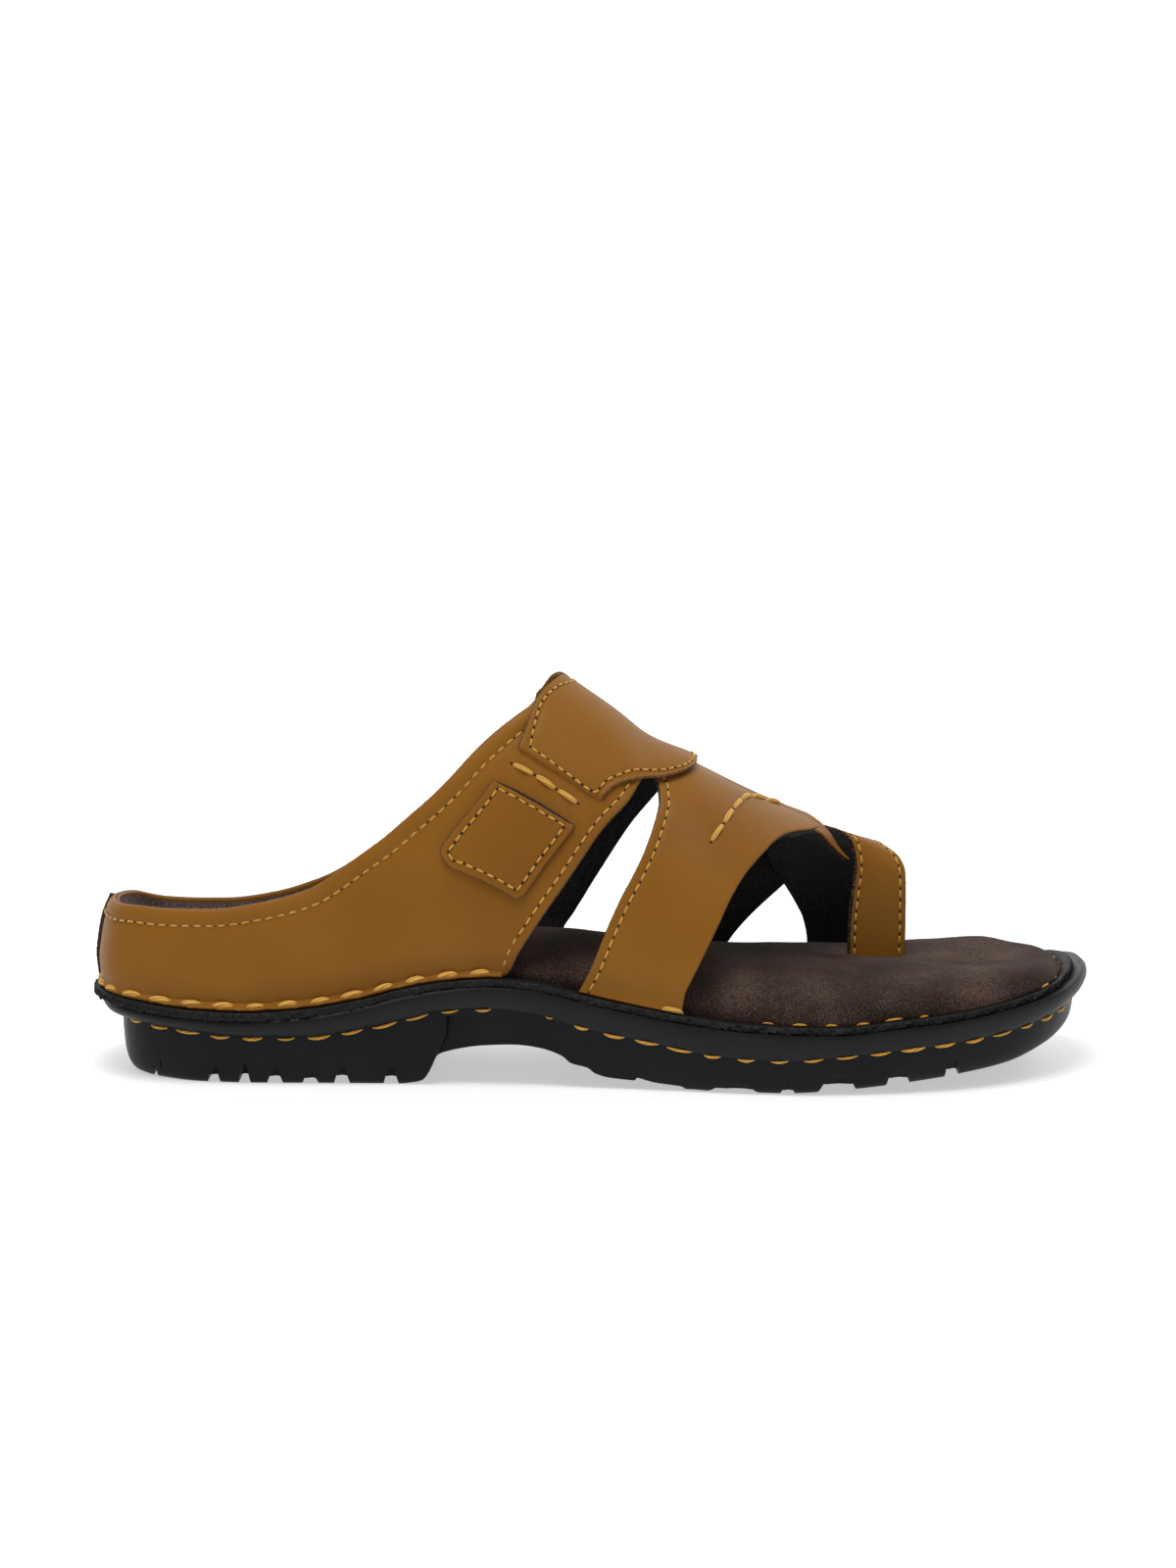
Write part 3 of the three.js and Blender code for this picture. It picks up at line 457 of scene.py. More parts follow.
side_profile = profile(OUTSOLE_SIDE, 16)
outsole = sole_layer("outsole_tread", [
    (lambda side, at, back=back: lerp(sole("groove", at), sole("foot", at), back),
     lambda place, at, up=up: lerp(sole("tread", place), sole("seam", place) - CREASE_GAP, up))
    for up, back in side_profile], [tread_rubber])
carve(outsole, tread_cutters())
outsole.data.polygons.foreach_set("use_smooth", np.ones(len(outsole.data.polygons), bool))
outsole.data.set_sharp_from_angle(angle=math.radians(32))
softened = outsole.modifiers.new("moulded_edges", "BEVEL")
softened.width, softened.segments, softened.angle_limit = RUBBER_EDGE * MM, 2, math.radians(40)
softened.harden_normals = True
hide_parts("outsole")


# Midsole band and its side stitching
# A second band of the same rubber, lapped over the outsole and sewn to it all round. Each orange stitch
# lies in the crease between the two and swells out in its middle.
BAND_BLACK, BAND_BLOOM = (0.0058, 0.0063, 0.0076), (0.0098, 0.0105, 0.0125)
band_rubber = rubber_finish("band_rubber", BAND_BLACK, BAND_BLOOM, 0.2)
band_profile = profile(MIDSOLE_SIDE, 18)
midsole = sole_layer("midsole_band", [
    (lambda side, at, back=back: lerp(sole("bulge", at), sole("groove", at), back),
     lambda place, at, up=up: lerp(sole("seam", place) + CREASE_GAP, sole("rim", place), up))
    for up, back in band_profile], [band_rubber])
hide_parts("midsole")

SIDE_PITCH, SIDE_STITCH, SIDE_THREAD = 9.6, 6.9, 0.92
SIDE_SAG = 0.35            # how far a stitch hangs below the crease in its middle
ORANGE_THREAD = (0.72, 0.37, 0.05)
# The shade colour is painted shade in the grooves between the thread's strands.
ORANGE_SHADE = (0.40, 0.16, 0.016)
# The needle-hole colours below are painted shade: dark pieces laid where a hole or gap would be in shadow.
HOLE_SHADE_DARK, HOLE_SHADE_RIM = (0.006, 0.004, 0.003), (0.02, 0.012, 0.008)


def thread_finish(name, light, shade, strands, twist):
    """Waxed thread: strands wind around it, twist times to the millimetre, with fine fibres over them. Its
    colour goes to the shade colour in the grooves between the strands: painted shade.
    """
    material, tree, shader = finish(name, Specular_IOR_Level=0.3, Sheen_Weight=0.1)
    lay = node(tree, "UVMap", uv_map="lay").outputs["UV"]
    turns = (2 * math.pi * strands, 2 * math.pi * twist, 0)
    phase = node(tree, "VectorMath", {0: lay, 1: turns}, operation="DOT_PRODUCT").outputs["Value"]
    wave = node(tree, "Math", {0: phase}, operation="SINE").outputs["Value"]
    strand = node(tree, "MapRange", {"Value": wave, "From Min": -1.0}).outputs["Result"]
    fibre = grain(tree, 3000, 3)
    mixed = node(tree, "Math", {0: strand, 1: fibre}, operation="ADD").outputs["Value"]
    level = node(tree, "Math", {0: mixed, 1: 0.5}, operation="MULTIPLY").outputs["Value"]
    dressed(tree, shader,
            Base_Color=ramp(tree, level, [(0.2, shade), (0.55, light)]),
            Roughness=between(tree, fibre, 0.5, 0.75),
            Normal=bumped(tree, [(strand, 0.8, 0.16), (fibre, 0.5, 0.12)]))
    return material


orange_thread = thread_finish("orange_thread", ORANGE_THREAD, ORANGE_SHADE, 3, 0.35)
# The needle-hole finish paints the shade of holes and gaps onto dark pieces.
hole_shade, tree, shader = finish("needle_hole_shade", Roughness=0.95)
dressed(tree, shader, Base_Color=ramp(tree, grain(tree, 900), [(0.3, HOLE_SHADE_DARK), (0.8, HOLE_SHADE_RIM)]))


def unit(vectors):
    return vectors / np.maximum(np.linalg.norm(vectors, axis=-1, keepdims=True), 1e-9)


def stitches(name, runs, pitch, length, thick, thread, proud=0.15, sink=0.5, sag=0.0, tilt=0.0, rings=7,
             sides=8, hole=0.0, taper=3.0, uneven=0.0, seed=2):
    """Stitches along runs of (points, outward directions, size), in one piece with the needle holes between
    them, dark discs of painted shade. sag and tilt move a stitch's middle and ends across its line; uneven:
    how much they vary."""
    points, faces, which, lay = [], [], [], []
    start = 0
    random = np.random.default_rng(seed)

    def tube(centre, out, across, radius, walked):
        nonlocal start
        turn = 2 * math.pi * np.arange(sides) / sides
        ring = centre[:, None] + radius[:, None, None] * (across[:, None] * np.cos(turn)[:, None]
                                                          + out[:, None] * np.sin(turn)[:, None])
        points.append(ring.reshape(-1, 3))
        faces.extend(rounds((rings, sides), start))
        for r in range(rings - 1):
            for i in range(sides):
                low, high = walked[r], walked[r + 1]
                corners = ((i, low), (i + 1, low), (i + 1, high), (i, high))
                lay.extend([(turned / sides, level) for turned, level in corners])
        faces.append(list(range(start, start + sides))[::-1])
        faces.append(list(range(start + (rings - 1) * sides, start + rings * sides)))
        lay.extend([(0, 0)] * (2 * sides))
        which.extend([0] * ((rings - 1) * sides + 2))
        start += rings * sides

    # A needle hole is a small dark disc: painted shade, not an opening.
    def needle_hole_shade(centre, out, forward):
        nonlocal start
        across = np.cross(out, forward)
        turn = 2 * math.pi * np.arange(8)[:, None] / 8
        spoke = hole * (np.cos(turn) * forward + 0.8 * np.sin(turn) * across)
        points.append(np.concatenate([centre - 0.1 * out + spoke, centre + 0.14 * out + 0.75 * spoke]))
        faces.extend(rounds((2, 8), start))
        faces.extend([list(range(start + 8, start + 16)), list(range(start, start + 8))[::-1]])
        lay.extend([(0, 0)] * 48)
        which.extend([1] * 10)
        start += 16

    for line, outward, *more in runs:
        walked = np.concatenate([[0], np.cumsum(np.linalg.norm(np.diff(line, axis=0), axis=1))])
        size = more[0] if more else np.ones(len(line))
        count = max(1, round(walked[-1] / pitch))
        step = walked[-1] / count
        s = np.linspace(-1, 1, rings)

        def read(values, at):
            return np.stack([np.interp(at, walked, values[:, k]) for k in range(values.shape[1])], -1)

        for k in range(count):
            middle = step * (k + 0.5)
            scale = float(np.interp(middle, walked, size))
            longer, thicker, leaning, aside = 1 + uneven * random.uniform(-1, 1, 4)
            if scale < 0.2:
                continue
            at = middle + s * min(length * longer * scale, 0.97 * step) / 2
            centre = read(line, at)
            out = unit(read(outward, at))
            forward = unit(np.gradient(centre, axis=0))
            across = unit(np.cross(out, forward))
            out = np.cross(forward, across)
            down = across * np.where(across[:, 2:] > 0, -1, 1)
            rise = (proud * scale * (1 - s**2) - sink * np.abs(s) ** 4)[:, None]
            shift = sag * aside * (1 - s**2) + tilt * leaning * s + (aside - 1) * thick * 0.5
            centre = centre + out * rise + down * shift[:, None]
            radius = thick / 2 * thicker * scale**0.5 * np.maximum(1 - np.abs(s) ** taper, 0.02) ** 0.5
            tube(centre, out, across, radius, at)
        if hole:
            for at in step * np.arange(count + 1):
                centre, out = read(line, at), unit(read(outward, at))
                ahead = read(line, min(at + 0.2, walked[-1])) - read(line, max(at - 0.2, 0))
                needle_hole_shade(centre, out, unit(ahead))
    return made(name, np.concatenate(points), faces, [thread, hole_shade], which, 80, lay)


def side_crease():
    side, at = circuit(SOLE_STATIONS)
    side, at = np.append(side, side[0]), np.append(at, at[0])
    flat = plan_point(side, at, sole("groove", at) - 0.05)
    out = -plan_inward(side, at)
    hidden = 1 - smooth([0.385, 0.41, 0.455, 0.5], [0, 0.85, 0.6, 0], at)
    return (np.column_stack([flat, sole("seam", share_of_x(flat[:, 0]))]),
            np.column_stack([out, np.zeros(len(out))]), hidden)


stitches("side_stitches", [side_crease()], SIDE_PITCH, SIDE_STITCH, SIDE_THREAD, orange_thread, proud=0.2,
         sink=0.35, sag=SIDE_SAG, tilt=-0.12, rings=13, sides=10, taper=1.5, uneven=0.22)


# Board
# Black fibre board between midsole and upper, sewn through and left with a torn, fuzzy edge that stands
# out a little past the rubber under it.
BOARD = 1.8
BOARD_RAG = 0.95           # how far the edge wanders
BOARD_BLACK = (0.0055, 0.005, 0.005)
BOARD_FUZZ = (0.0125, 0.0115, 0.0112)
BOARD_TEARS, BOARD_SWAY = [13, 5.3, 2.6, 1.5], [19, 7.1, 3.3, 1.9]    # lengths of the edge's waves

# Round the board's edge, from under it to its top: share of its thickness, setback, share of the raggedness
BOARD_PROFILE = [(0.05, 3.0, 0), (-0.3, 0.5, 0.5), (-0.28, 0.05, 0.9), (0.1, -0.2, 1.15),
                 (0.55, -0.05, 1), (0.85, 0.1, 0.8), (1, 0.5, 0.4), (1, 1.8, 0)]


def ripple(walk, waves, seed):
    """Uneven line: waves of the given lengths with fixed random phases, from -1 to 1."""
    phases = np.random.default_rng(seed).uniform(0, 2 * math.pi, (len(waves), 2))
    total = 0
    for length, (phase, swell) in zip(waves, phases):
        swelling = 0.75 + 0.25 * np.sin(walk / length + swell)
        total = total + np.sin(2 * math.pi * walk / length + phase) * swelling
    return total / len(waves)


def walk_of(side, at):
    """How far around the sole a place is, in millimetres from the heel tip, negative on the outer side."""
    return side * LENGTH * angle_of(at) * 1.15


board_fibre, tree, shader = finish("board_fibre", Specular_IOR_Level=0.22)
fuzz = grain(tree, 1300, 5)
dressed(tree, shader,
        Base_Color=ramp(tree, fuzz, [(0.42, BOARD_BLACK), (0.75, BOARD_FUZZ)]),
        Roughness=between(tree, grain(tree, 500, 3), 0.35, 0.85),
        Normal=bumped(tree, [(grain(tree, 420, 4), 0.9, 0.6), (fuzz, 0.9, 0.35)]))


def board_top(place):
    return sole("rim", place) + SEAM_GAP + BOARD


def board_rings():
    rings = []
    for up, back, rag in BOARD_PROFILE:
        def setback(side, at, back=back, rag=rag, up=up):
            torn = ripple(walk_of(side, at) + 4 * up, BOARD_TEARS, 5)
            return sole("board", at) + back - 0.1 + BOARD_RAG * rag * torn

        def height(place, at, up=up, rag=rag):
            sway = ripple(place * LENGTH + 9 * (up > 0.5), BOARD_SWAY, 9)
            lifted = (0.45 if up < 0.3 else 0.3) * rag * sway
            return sole("rim", place) + SEAM_GAP + up * BOARD + lifted
        rings.append((setback, height))
    return rings


board = sole_layer("fibre_board", board_rings(), [board_fibre], stations=760)
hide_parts("welt_board")


# Footbed
# Thick foam under one piece of dark brown suede, domed at the ball and sewn down along its edge with small
# orange stitches. A slot near the toes takes the ring's inner leg.
PAD_RISE, PAD_LIP, PAD_ROUNDNESS = 12, 0.12, 2.0
SLOT_DIP, SLOT_SPREAD = 1.1, 5.0
SUEDE_DEEP = (0.0115, 0.0066, 0.0048)
SUEDE_BROWN = (0.035, 0.0200, 0.0150)
SUEDE_NAP = (0.092, 0.058, 0.044)

# Share of the length; setback of the pad's outer and inner edge in shares of the setback; share of the rise
PAD = np.array([
    [0.00, 0.62, 0.62, 0.600], [0.05, 0.70, 0.70, 0.617], [0.12, 0.86, 0.86, 0.633],
    [0.38, 0.86, 0.86, 0.720], [0.44, 0.70, 0.82, 0.840], [0.49, 0.68, 0.78, 1.040],
    [0.60, 0.66, 0.76, 1.170], [0.65, 0.42, 0.72, 1.180], [0.70, 0.36, 0.64, 1.150],
    [0.76, 0.36, 0.60, 1.100], [0.84, 0.36, 0.58, 0.890], [0.88, 0.36, 0.42, 0.800],
    [0.93, 0.38, 0.46, 0.680], [0.97, 0.44, 0.72, 0.480], [1.00, 0.60, 0.60, 0.320]])

# Distance over which the pad's edge rounds up, and width of the flat rim before it, by share of the length
CROWN_AT, CROWN = [0, 0.6, 0.8, 0.88, 0.94, 1], [30, 38, 38, 24, 12, 8]
SKIRT_AT = [0, 0.88, 0.93, 0.965, 1]
SKIRT_OUTER, SKIRT_INNER = [0, 0, 0.2, 0.3, 1.5], [0, 0.6, 0.8, 1.2, 1.5]
PAD_INSETS = [0, 0.25, 0.7, 1.4, 2.2, 3, 3.6, 4.2, 4.8, 5.6, 6.6, 8, 10, 12.5, 15, 18, 22, 26, 30, 35, 40]
SLOT_X, SLOT_Y = (0.2625 + 0.321) / 2 * LENGTH, 0.154 * WIDTH / 2


def suede_finish(name, deep, middle, nap):
    """Suede: a short brushed nap, lighter where it lies over and speckled by its fibres."""
    material, tree, shader = finish(name, Roughness=0.92, Specular_IOR_Level=0.15, Sheen_Weight=0.24,
                                    Sheen_Roughness=0.4, Sheen_Tint=(0.62, 0.47, 0.41, 1))
    fibres = grain(tree, 1700, 3)
    brushed = grain(tree, 42, 4)
    mixed = node(tree, "Math", {0: fibres, 1: brushed}, operation="ADD").outputs["Value"]
    level = node(tree, "Math", {0: mixed, 1: 0.5}, operation="MULTIPLY").outputs["Value"]
    dressed(tree, shader,
            Base_Color=ramp(tree, level, [(0.4, deep), (0.5, middle), (0.62, nap)]),
            Normal=bumped(tree, [(brushed, 0.25, 1.0), (fibres, 0.9, 0.3)]))
    return material


suede = suede_finish("footbed_suede", SUEDE_DEEP, SUEDE_BROWN, SUEDE_NAP)


def pad_edge(side, at):
    columns = [smooth(PAD[:, 0], PAD[:, k], at) for k in (1, 2)]
    return SETBACK * np.where(side == OUTER, columns[0], columns[1])


def pad_points(side, at, inset):
    """Points of the pad's top at a distance in from its edge."""
    flat = plan_point(side, at, pad_edge(side, at) + inset)
    skirt = np.where(side == OUTER, smooth(SKIRT_AT, SKIRT_OUTER, at), smooth(SKIRT_AT, SKIRT_INNER, at))
    step = np.clip((inset - skirt) / (smooth(CROWN_AT, CROWN, at) - skirt), 0, 1)
    crown = (1 - (1 - step) ** PAD_ROUNDNESS) ** (1 / PAD_ROUNDNESS)
    rise = lerp(PAD_LIP, 1, crown) * PAD_RISE * smooth(PAD[:, 0], PAD[:, 3], at)
    high = board_top(share_of_x(flat[..., 0])) + SEAM_GAP + rise
    near = np.hypot((flat[..., 0] - SLOT_X) / 2.2, flat[..., 1] - SLOT_Y)
    high = high - SLOT_DIP * np.exp(-((near / SLOT_SPREAD) ** 2))
    return np.concatenate([flat, high[..., None]], -1)


def footbed():
    stations = 150
    side, at = circuit(stations)
    around = 2 * stations
    base = plan_point(side, at, pad_edge(side, at) + 0.3)
    rows = [np.column_stack([base, board_top(share_of_x(base[:, 0]))])]
    edge = plan_point(side, at, pad_edge(side, at))
    reach = ((plan_middle(at) - edge) * plan_inward(side, at)).sum(-1)
    for inset in PAD_INSETS:
        rows.append(pad_points(side, at, np.minimum(inset, reach * 0.985)))
    last_inset = np.minimum(PAD_INSETS[-1], reach)
    for share in (0.25, 0.5, 0.75, 1.0):
        rows.append(pad_points(side, at, np.maximum(lerp(last_inset, reach, share), 0)))
    points = np.concatenate(rows)
    faces = rounds((len(rows), around)) + [face[::-1] for face in closing(stations, 0)]
    faces += closing(stations, (len(rows) - 1) * around)
    return made("suede_footbed", points, facing_out(points, faces), [suede], sharp=70)


pad = footbed()
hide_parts("footbed")

PAD_PITCH, PAD_STITCH, PAD_THREAD = 8.8, 4.2, 0.62


def pad_seam(side, first, last):
    at = at_of_angle(np.linspace(angle_of(first), angle_of(last), 160))
    skirt = smooth(SKIRT_AT, SKIRT_OUTER if side == OUTER else SKIRT_INNER, at)
    flat = plan_point(np.full(160, side), at, pad_edge(side, at) + 0.7 * skirt - 0.1)
    out = np.column_stack([-plan_inward(side, at), np.full(160, 0.6)])
    shown = smooth([0.66, 0.82, 0.85, 0.945, 0.96, 1], [1, 1, 0, 0, 1, 1], at)
    return np.column_stack([flat, board_top(share_of_x(flat[:, 0])) + 0.45]), unit(out), shown


stitches("footbed_stitches", [pad_seam(OUTER, 0.66, 1), pad_seam(INNER, 0.96, 1)], PAD_PITCH, PAD_STITCH,
         PAD_THREAD, orange_thread, proud=0.25, sink=0.5, uneven=0.35)


# Quarters and instep band
# One piece of tan leather, lined, runs once around the heel and meets over the instep. Its top edge is
# rolled over a thin pad and sewn; its foot is turned out onto the board.
WALL = 2.0
INSTEP_HEIGHT, SPRING_HEIGHT = 114.2, 63.6
CREASE, CREASE_HEIGHT = 1.3, 9
QUARTER_GRID = (430, 46)
TOPLINE_ROLL, TOPLINE_MARGIN = 0.65, 5.0
EDGE_MARGIN = 2.7
SEAM_DIP, SEAM_SPREAD = 0.28, 0.8
CUT_LIP = 0.5
RAW_FUZZ = 0.09
COLLAR_PAD, COLLAR_PAD_AT, COLLAR_PAD_SPREAD = 2.6, 9.0, 4.5
GATHER = 0.28              # how far the hand stitches draw the quarter's foot in
HEEL_LEAN, LEAN_DEEP, LEAN_WIDE = 1.9, 4.5, 0.045    # how far the topline leans in over the heel
COLLAR_PAD_WIDE = 0.16     # half the padded part, as a share of the way around
COLLAR_FRONT = -38         # where the suede collar ends, from the sole's middle
ROLL_LINING = 1.3          # how far the rolled leather goes down inside
FRONT_SEAM = 0.216         # where the stitches of the front edge end, as a share of the way around
CUT_SHOWN = 0.42           # how far a thick cut edge shows on its face
TAN_LIGHT = (0.287, 0.122, 0.0130)
TAN = (0.249, 0.100, 0.0091)
TAN_SHADE = (0.208, 0.078, 0.0062)
RAW_BROWN, RAW_FIBRE = (0.105, 0.05, 0.02), (0.27, 0.17, 0.095)
LINING_BLACK = (0.010, 0.0088, 0.0080)
LINING_WORN = (0.044, 0.041, 0.038)
# The collar suede is lighter than the footbed's in its own colour, and is raised further to paint in light
# that the inside of the heel does not get. It is partly own colour, partly painted light.
COLLAR_DEEP_LIT = (0.095, 0.063, 0.058)
COLLAR_BROWN_LIT = (0.22, 0.152, 0.142)
COLLAR_NAP_LIT = (0.36, 0.270, 0.258)

# Crest of the last: share of the length; side shift in shares of half the width; height in shares of the
# instep's height and of the height over the big toe
CREST = np.array([
    [0.100, 0.038, 1.313, 0.000], [0.200, 0.038, 1.322, 0.000], [0.300, 0.038, 1.279, 0.000],
    [0.380, 0.048, 1.173, 0.000], [0.470, 0.058, 1.000, 0.000], [0.540, 0.077, 0.866, 0.000],
    [0.607, 0.106, 0.666, 0.200], [0.666, 0.135, 0.418, 0.500], [0.746, 0.250, 0.048, 1.000],
    [0.800, 0.404, 0.000, 1.013], [0.850, 0.481, 0.000, 0.943], [0.900, 0.500, 0.000, 0.818]])

# Sections of the last: share of the length; setback of the feather edge, outer and inner; how full
SECTION = np.array([
    [0.00, 0.04, 0.04, 1.25, 1.25], [0.04, 0.16, 0.16, 1.25, 1.25], [0.10, 0.36, 0.36, 1.28, 1.28],
    [0.20, 0.44, 0.44, 1.32, 1.32], [0.33, 0.42, 0.42, 1.75, 1.75], [0.42, 0.38, 0.38, 2.00, 2.00],
    [0.50, 0.24, 0.26, 2.08, 2.08], [0.60, 0.22, 0.24, 2.00, 2.10], [0.72, 0.22, 0.24, 1.80, 2.20],
    [0.80, 0.22, 0.24, 1.70, 2.20], [1.00, 0.22, 0.24, 1.70, 2.10]])

# A panel's ribs on the last, from one long edge to the other: share along and share of the way from the
# feather edge up to the crest, at the first edge and at the second
QUARTER_OUTER = np.array([
    [0.000, 0.000, 0.000, 0.241], [0.015, 0.000, 0.013, 0.242], [0.060, 0.000, 0.050, 0.246],
    [0.130, 0.000, 0.105, 0.246], [0.190, 0.000, 0.160, 0.257], [0.245, 0.000, 0.205, 0.271],
    [0.300, 0.000, 0.245, 0.290], [0.345, 0.000, 0.285, 0.308], [0.382, 0.000, 0.320, 0.342],
    [0.411, 0.000, 0.350, 0.393], [0.432, 0.067, 0.375, 0.458], [0.476, 0.230, 0.400, 0.535],
    [0.514, 0.404, 0.420, 0.609], [0.541, 0.529, 0.435, 0.679], [0.556, 0.640, 0.446, 0.768],
    [0.576, 0.800, 0.457, 0.860], [0.612, 1.000, 0.466, 1.000]])
QUARTER_INNER = np.array([
    [0.000, 0.000, 0.000, 0.241], [0.015, 0.000, 0.013, 0.233], [0.060, 0.000, 0.050, 0.216],
    [0.130, 0.000, 0.105, 0.212], [0.195, 0.000, 0.160, 0.224], [0.255, 0.000, 0.205, 0.242],
    [0.315, 0.000, 0.245, 0.257], [0.370, 0.000, 0.285, 0.273], [0.415, 0.000, 0.320, 0.300],
    [0.455, 0.000, 0.350, 0.350], [0.477, 0.067, 0.375, 0.410], [0.515, 0.230, 0.400, 0.485],
    [0.549, 0.404, 0.420, 0.560], [0.572, 0.529, 0.435, 0.640], [0.590, 0.640, 0.446, 0.735],
    [0.606, 0.800, 0.457, 0.850], [0.612, 1.000, 0.466, 1.000]])


def last_point(side, at, turn):
    """Point of the upper's outside on the last."""
    side, at, turn = np.broadcast_arrays(side, at, turn)
    read = [smooth(SECTION[:, 0], SECTION[:, column], at) for column in (1, 2, 3, 4)]
    setback = SETBACK * np.where(side == OUTER, read[0], read[1])
    full = np.where(side == OUTER, read[2], read[3])
    feather = plan_point(side, at, setback)
    crest_at = 0.1 + 0.8 * at
    crest = np.stack([along_x(crest_at), WIDTH / 2 * smooth(CREST[:, 0], CREST[:, 1], crest_at)], -1)
    crest_z = (INSTEP_HEIGHT * smooth(CREST[:, 0], CREST[:, 2], crest_at)
               + SPRING_HEIGHT * smooth(CREST[:, 0], CREST[:, 3], crest_at))
    foot = board_top(share_of_x(feather[..., 0])) + SEAM_GAP
    angle = turn * math.pi / 2
    z = foot + (crest_z - foot) * np.sin(angle) ** (2 / full)
    radius = np.linalg.norm(feather - crest, axis=-1)
    near = np.clip((z - foot) / CREASE_HEIGHT, 0, 1)
    drawn = CREASE * (1 - near**2 * (3 - 2 * near)) / radius
    out = np.maximum(np.cos(angle), 0) ** (2 / full) - drawn
    return np.concatenate([crest + (feather - crest) * out[..., None], z[..., None]], -1)


def rib_places(ribs, share, across):
    rows = np.arange(len(ribs))
    down = share * (len(ribs) - 1)
    at = [at_of_angle(smooth(rows, angle_of(ribs[:, k]), down)) for k in (0, 2)]
    turn = [smooth(rows, ribs[:, k], down) for k in (1, 3)]
    return lerp(at[0], at[1], across), lerp(turn[0], turn[1], across)


def quarter_place(u, v):
    """Once around the foot: crest, outer side, heel, inner side and back to the crest."""
    u = np.mod(u, 1)
    outer = u <= 0.5
    share = np.abs(1 - 2 * u)
    at_outer, turn_outer = rib_places(QUARTER_OUTER, share, v)
    at_inner, turn_inner = rib_places(QUARTER_INNER, share, v)
    return last_point(np.where(outer, OUTER, INNER), np.where(outer, at_outer, at_inner),
                      np.where(outer, turn_outer, turn_inner))


def skin(place, u, v, closed=False):
    """Points of a panel, its inward direction, and its size along u and v square to the other one."""
    u, v = np.broadcast_arrays(np.asarray(u, float), np.asarray(v, float))
    small = 0.004
    u0, u1 = (u - small, u + small) if closed else (np.maximum(u - small, 0), np.minimum(u + small, 1))
    v0, v1 = np.maximum(v - small, 0), np.minimum(v + small, 1)
    du = (place(u1, v) - place(u0, v)) / (u1 - u0)[..., None]
    dv = (place(u, v1) - place(u, v0)) / (v1 - v0)[..., None]
    square = np.cross(du, dv)
    area = np.linalg.norm(square, axis=-1)
    size_u = area / np.maximum(np.linalg.norm(dv, axis=-1), 1e-6)
    size_v = area / np.maximum(np.linalg.norm(du, axis=-1), 1e-6)
    return place(u, v), unit(square), size_u, size_v


def spread(count, lip):
    """Places across a panel, close together at both edges."""
    start = lip * np.array([0, 0.12, 0.45])
    return np.concatenate([start, np.linspace(lip, 1 - lip, count), 1 - start[::-1]])


def panel(name, place, us, vs, top, bottom, finishes, closed=False, relief=None, padding=None, lining=None,
          raw=None, lip=CUT_LIP, seed=1, sharp=60):
    """Lined leather panel. top and bottom: depth of its face and of its lining. finishes: face, cut edge,
    lining, and any others that lining picks by its faces' places. raw: how far its cut edge shows on it."""
    u, v = np.meshgrid(us, vs, indexing="ij")
    points, inward, size_u, size_v = skin(place, u, v, closed)
    first, second = v * size_v, (1 - v) * size_v
    edge = np.minimum(first, second)
    if not closed:
        edge = np.minimum(edge, np.minimum(u * size_u, (1 - u) * size_u))
    fall = lip - np.sqrt(np.maximum(lip**2 - np.maximum(lip - edge, 0) ** 2, 0))
    dip = relief(u, v, first, second) if relief else 0 * u
    face = points + inward * (top + fall + dip)[..., None]
    back = points + inward * (bottom - fall + (padding(u, v, first, second) if padding else 0))[..., None]
    columns, rows = u.shape
    for sheet in (face, back):
        sheet[..., 2] = np.maximum(sheet[..., 2], board_top(share_of_x(sheet[..., 0])) + SEAM_GAP)
    index = np.arange(columns * rows).reshape(columns, rows)
    wrapped = np.vstack([index, index[:1]]) if closed else index
    a, b, c, d = wrapped[:-1, :-1], wrapped[1:, :-1], wrapped[1:, 1:], wrapped[:-1, 1:]
    sheet = np.stack([a, d, c, b], -1).reshape(-1, 4)
    under = columns * rows
    faces = sheet.tolist() + (sheet[:, ::-1] + under).tolist()
    cut = edge < (raw(u, v, first, second) if raw else 0.25)
    which = cut.reshape(-1)[sheet].all(1).astype(int).tolist()
    if lining is None:
        which += [2] * len(sheet)
    else:
        middle = back.reshape(-1, 3)[sheet].mean(1)
        which += lining(middle, second.reshape(-1)[sheet].mean(1)).tolist()
    all_points = [face.reshape(-1, 3), back.reshape(-1, 3)]
    if closed:
        loops = [index[:, 0], index[::-1, -1]]
    else:
        loops = [np.concatenate([index[:, 0], index[-1, 1:], index[-2::-1, -1], index[0, -2:0:-1]])]
    start = 2 * under
    rim_steps = 5
    random = np.random.default_rng(seed)
    for loop in loops:
        above, below = face.reshape(-1, 3)[loop], back.reshape(-1, 3)[loop]
        count = len(loop)
        rings = [loop]
        for k in range(1, rim_steps):
            rough = random.uniform(-RAW_FUZZ, RAW_FUZZ, (count, 3))
            all_points.append(lerp(above, below, k / rim_steps) + rough)
            rings.append(np.arange(start, start + count))
            start += count
        rings.append(loop + under)
        for k in range(rim_steps):
            p, q = rings[k], rings[k + 1]
            band = np.stack([p, np.roll(p, -1), np.roll(q, -1), q], -1)
            faces += band.tolist()
            which += [1 if k < rim_steps - 2 else (2 if len(finishes) > 2 else 1)] * count
    all_points = np.concatenate(all_points)
    turned = facing_out(all_points, faces)
    return made(name, all_points, turned, finishes, which, sharp)


def seam_dip(distance, margin):
    """How far a line of stitches draws the leather in."""
    return SEAM_DIP * np.exp(-(((distance - margin) / SEAM_SPREAD) ** 2))


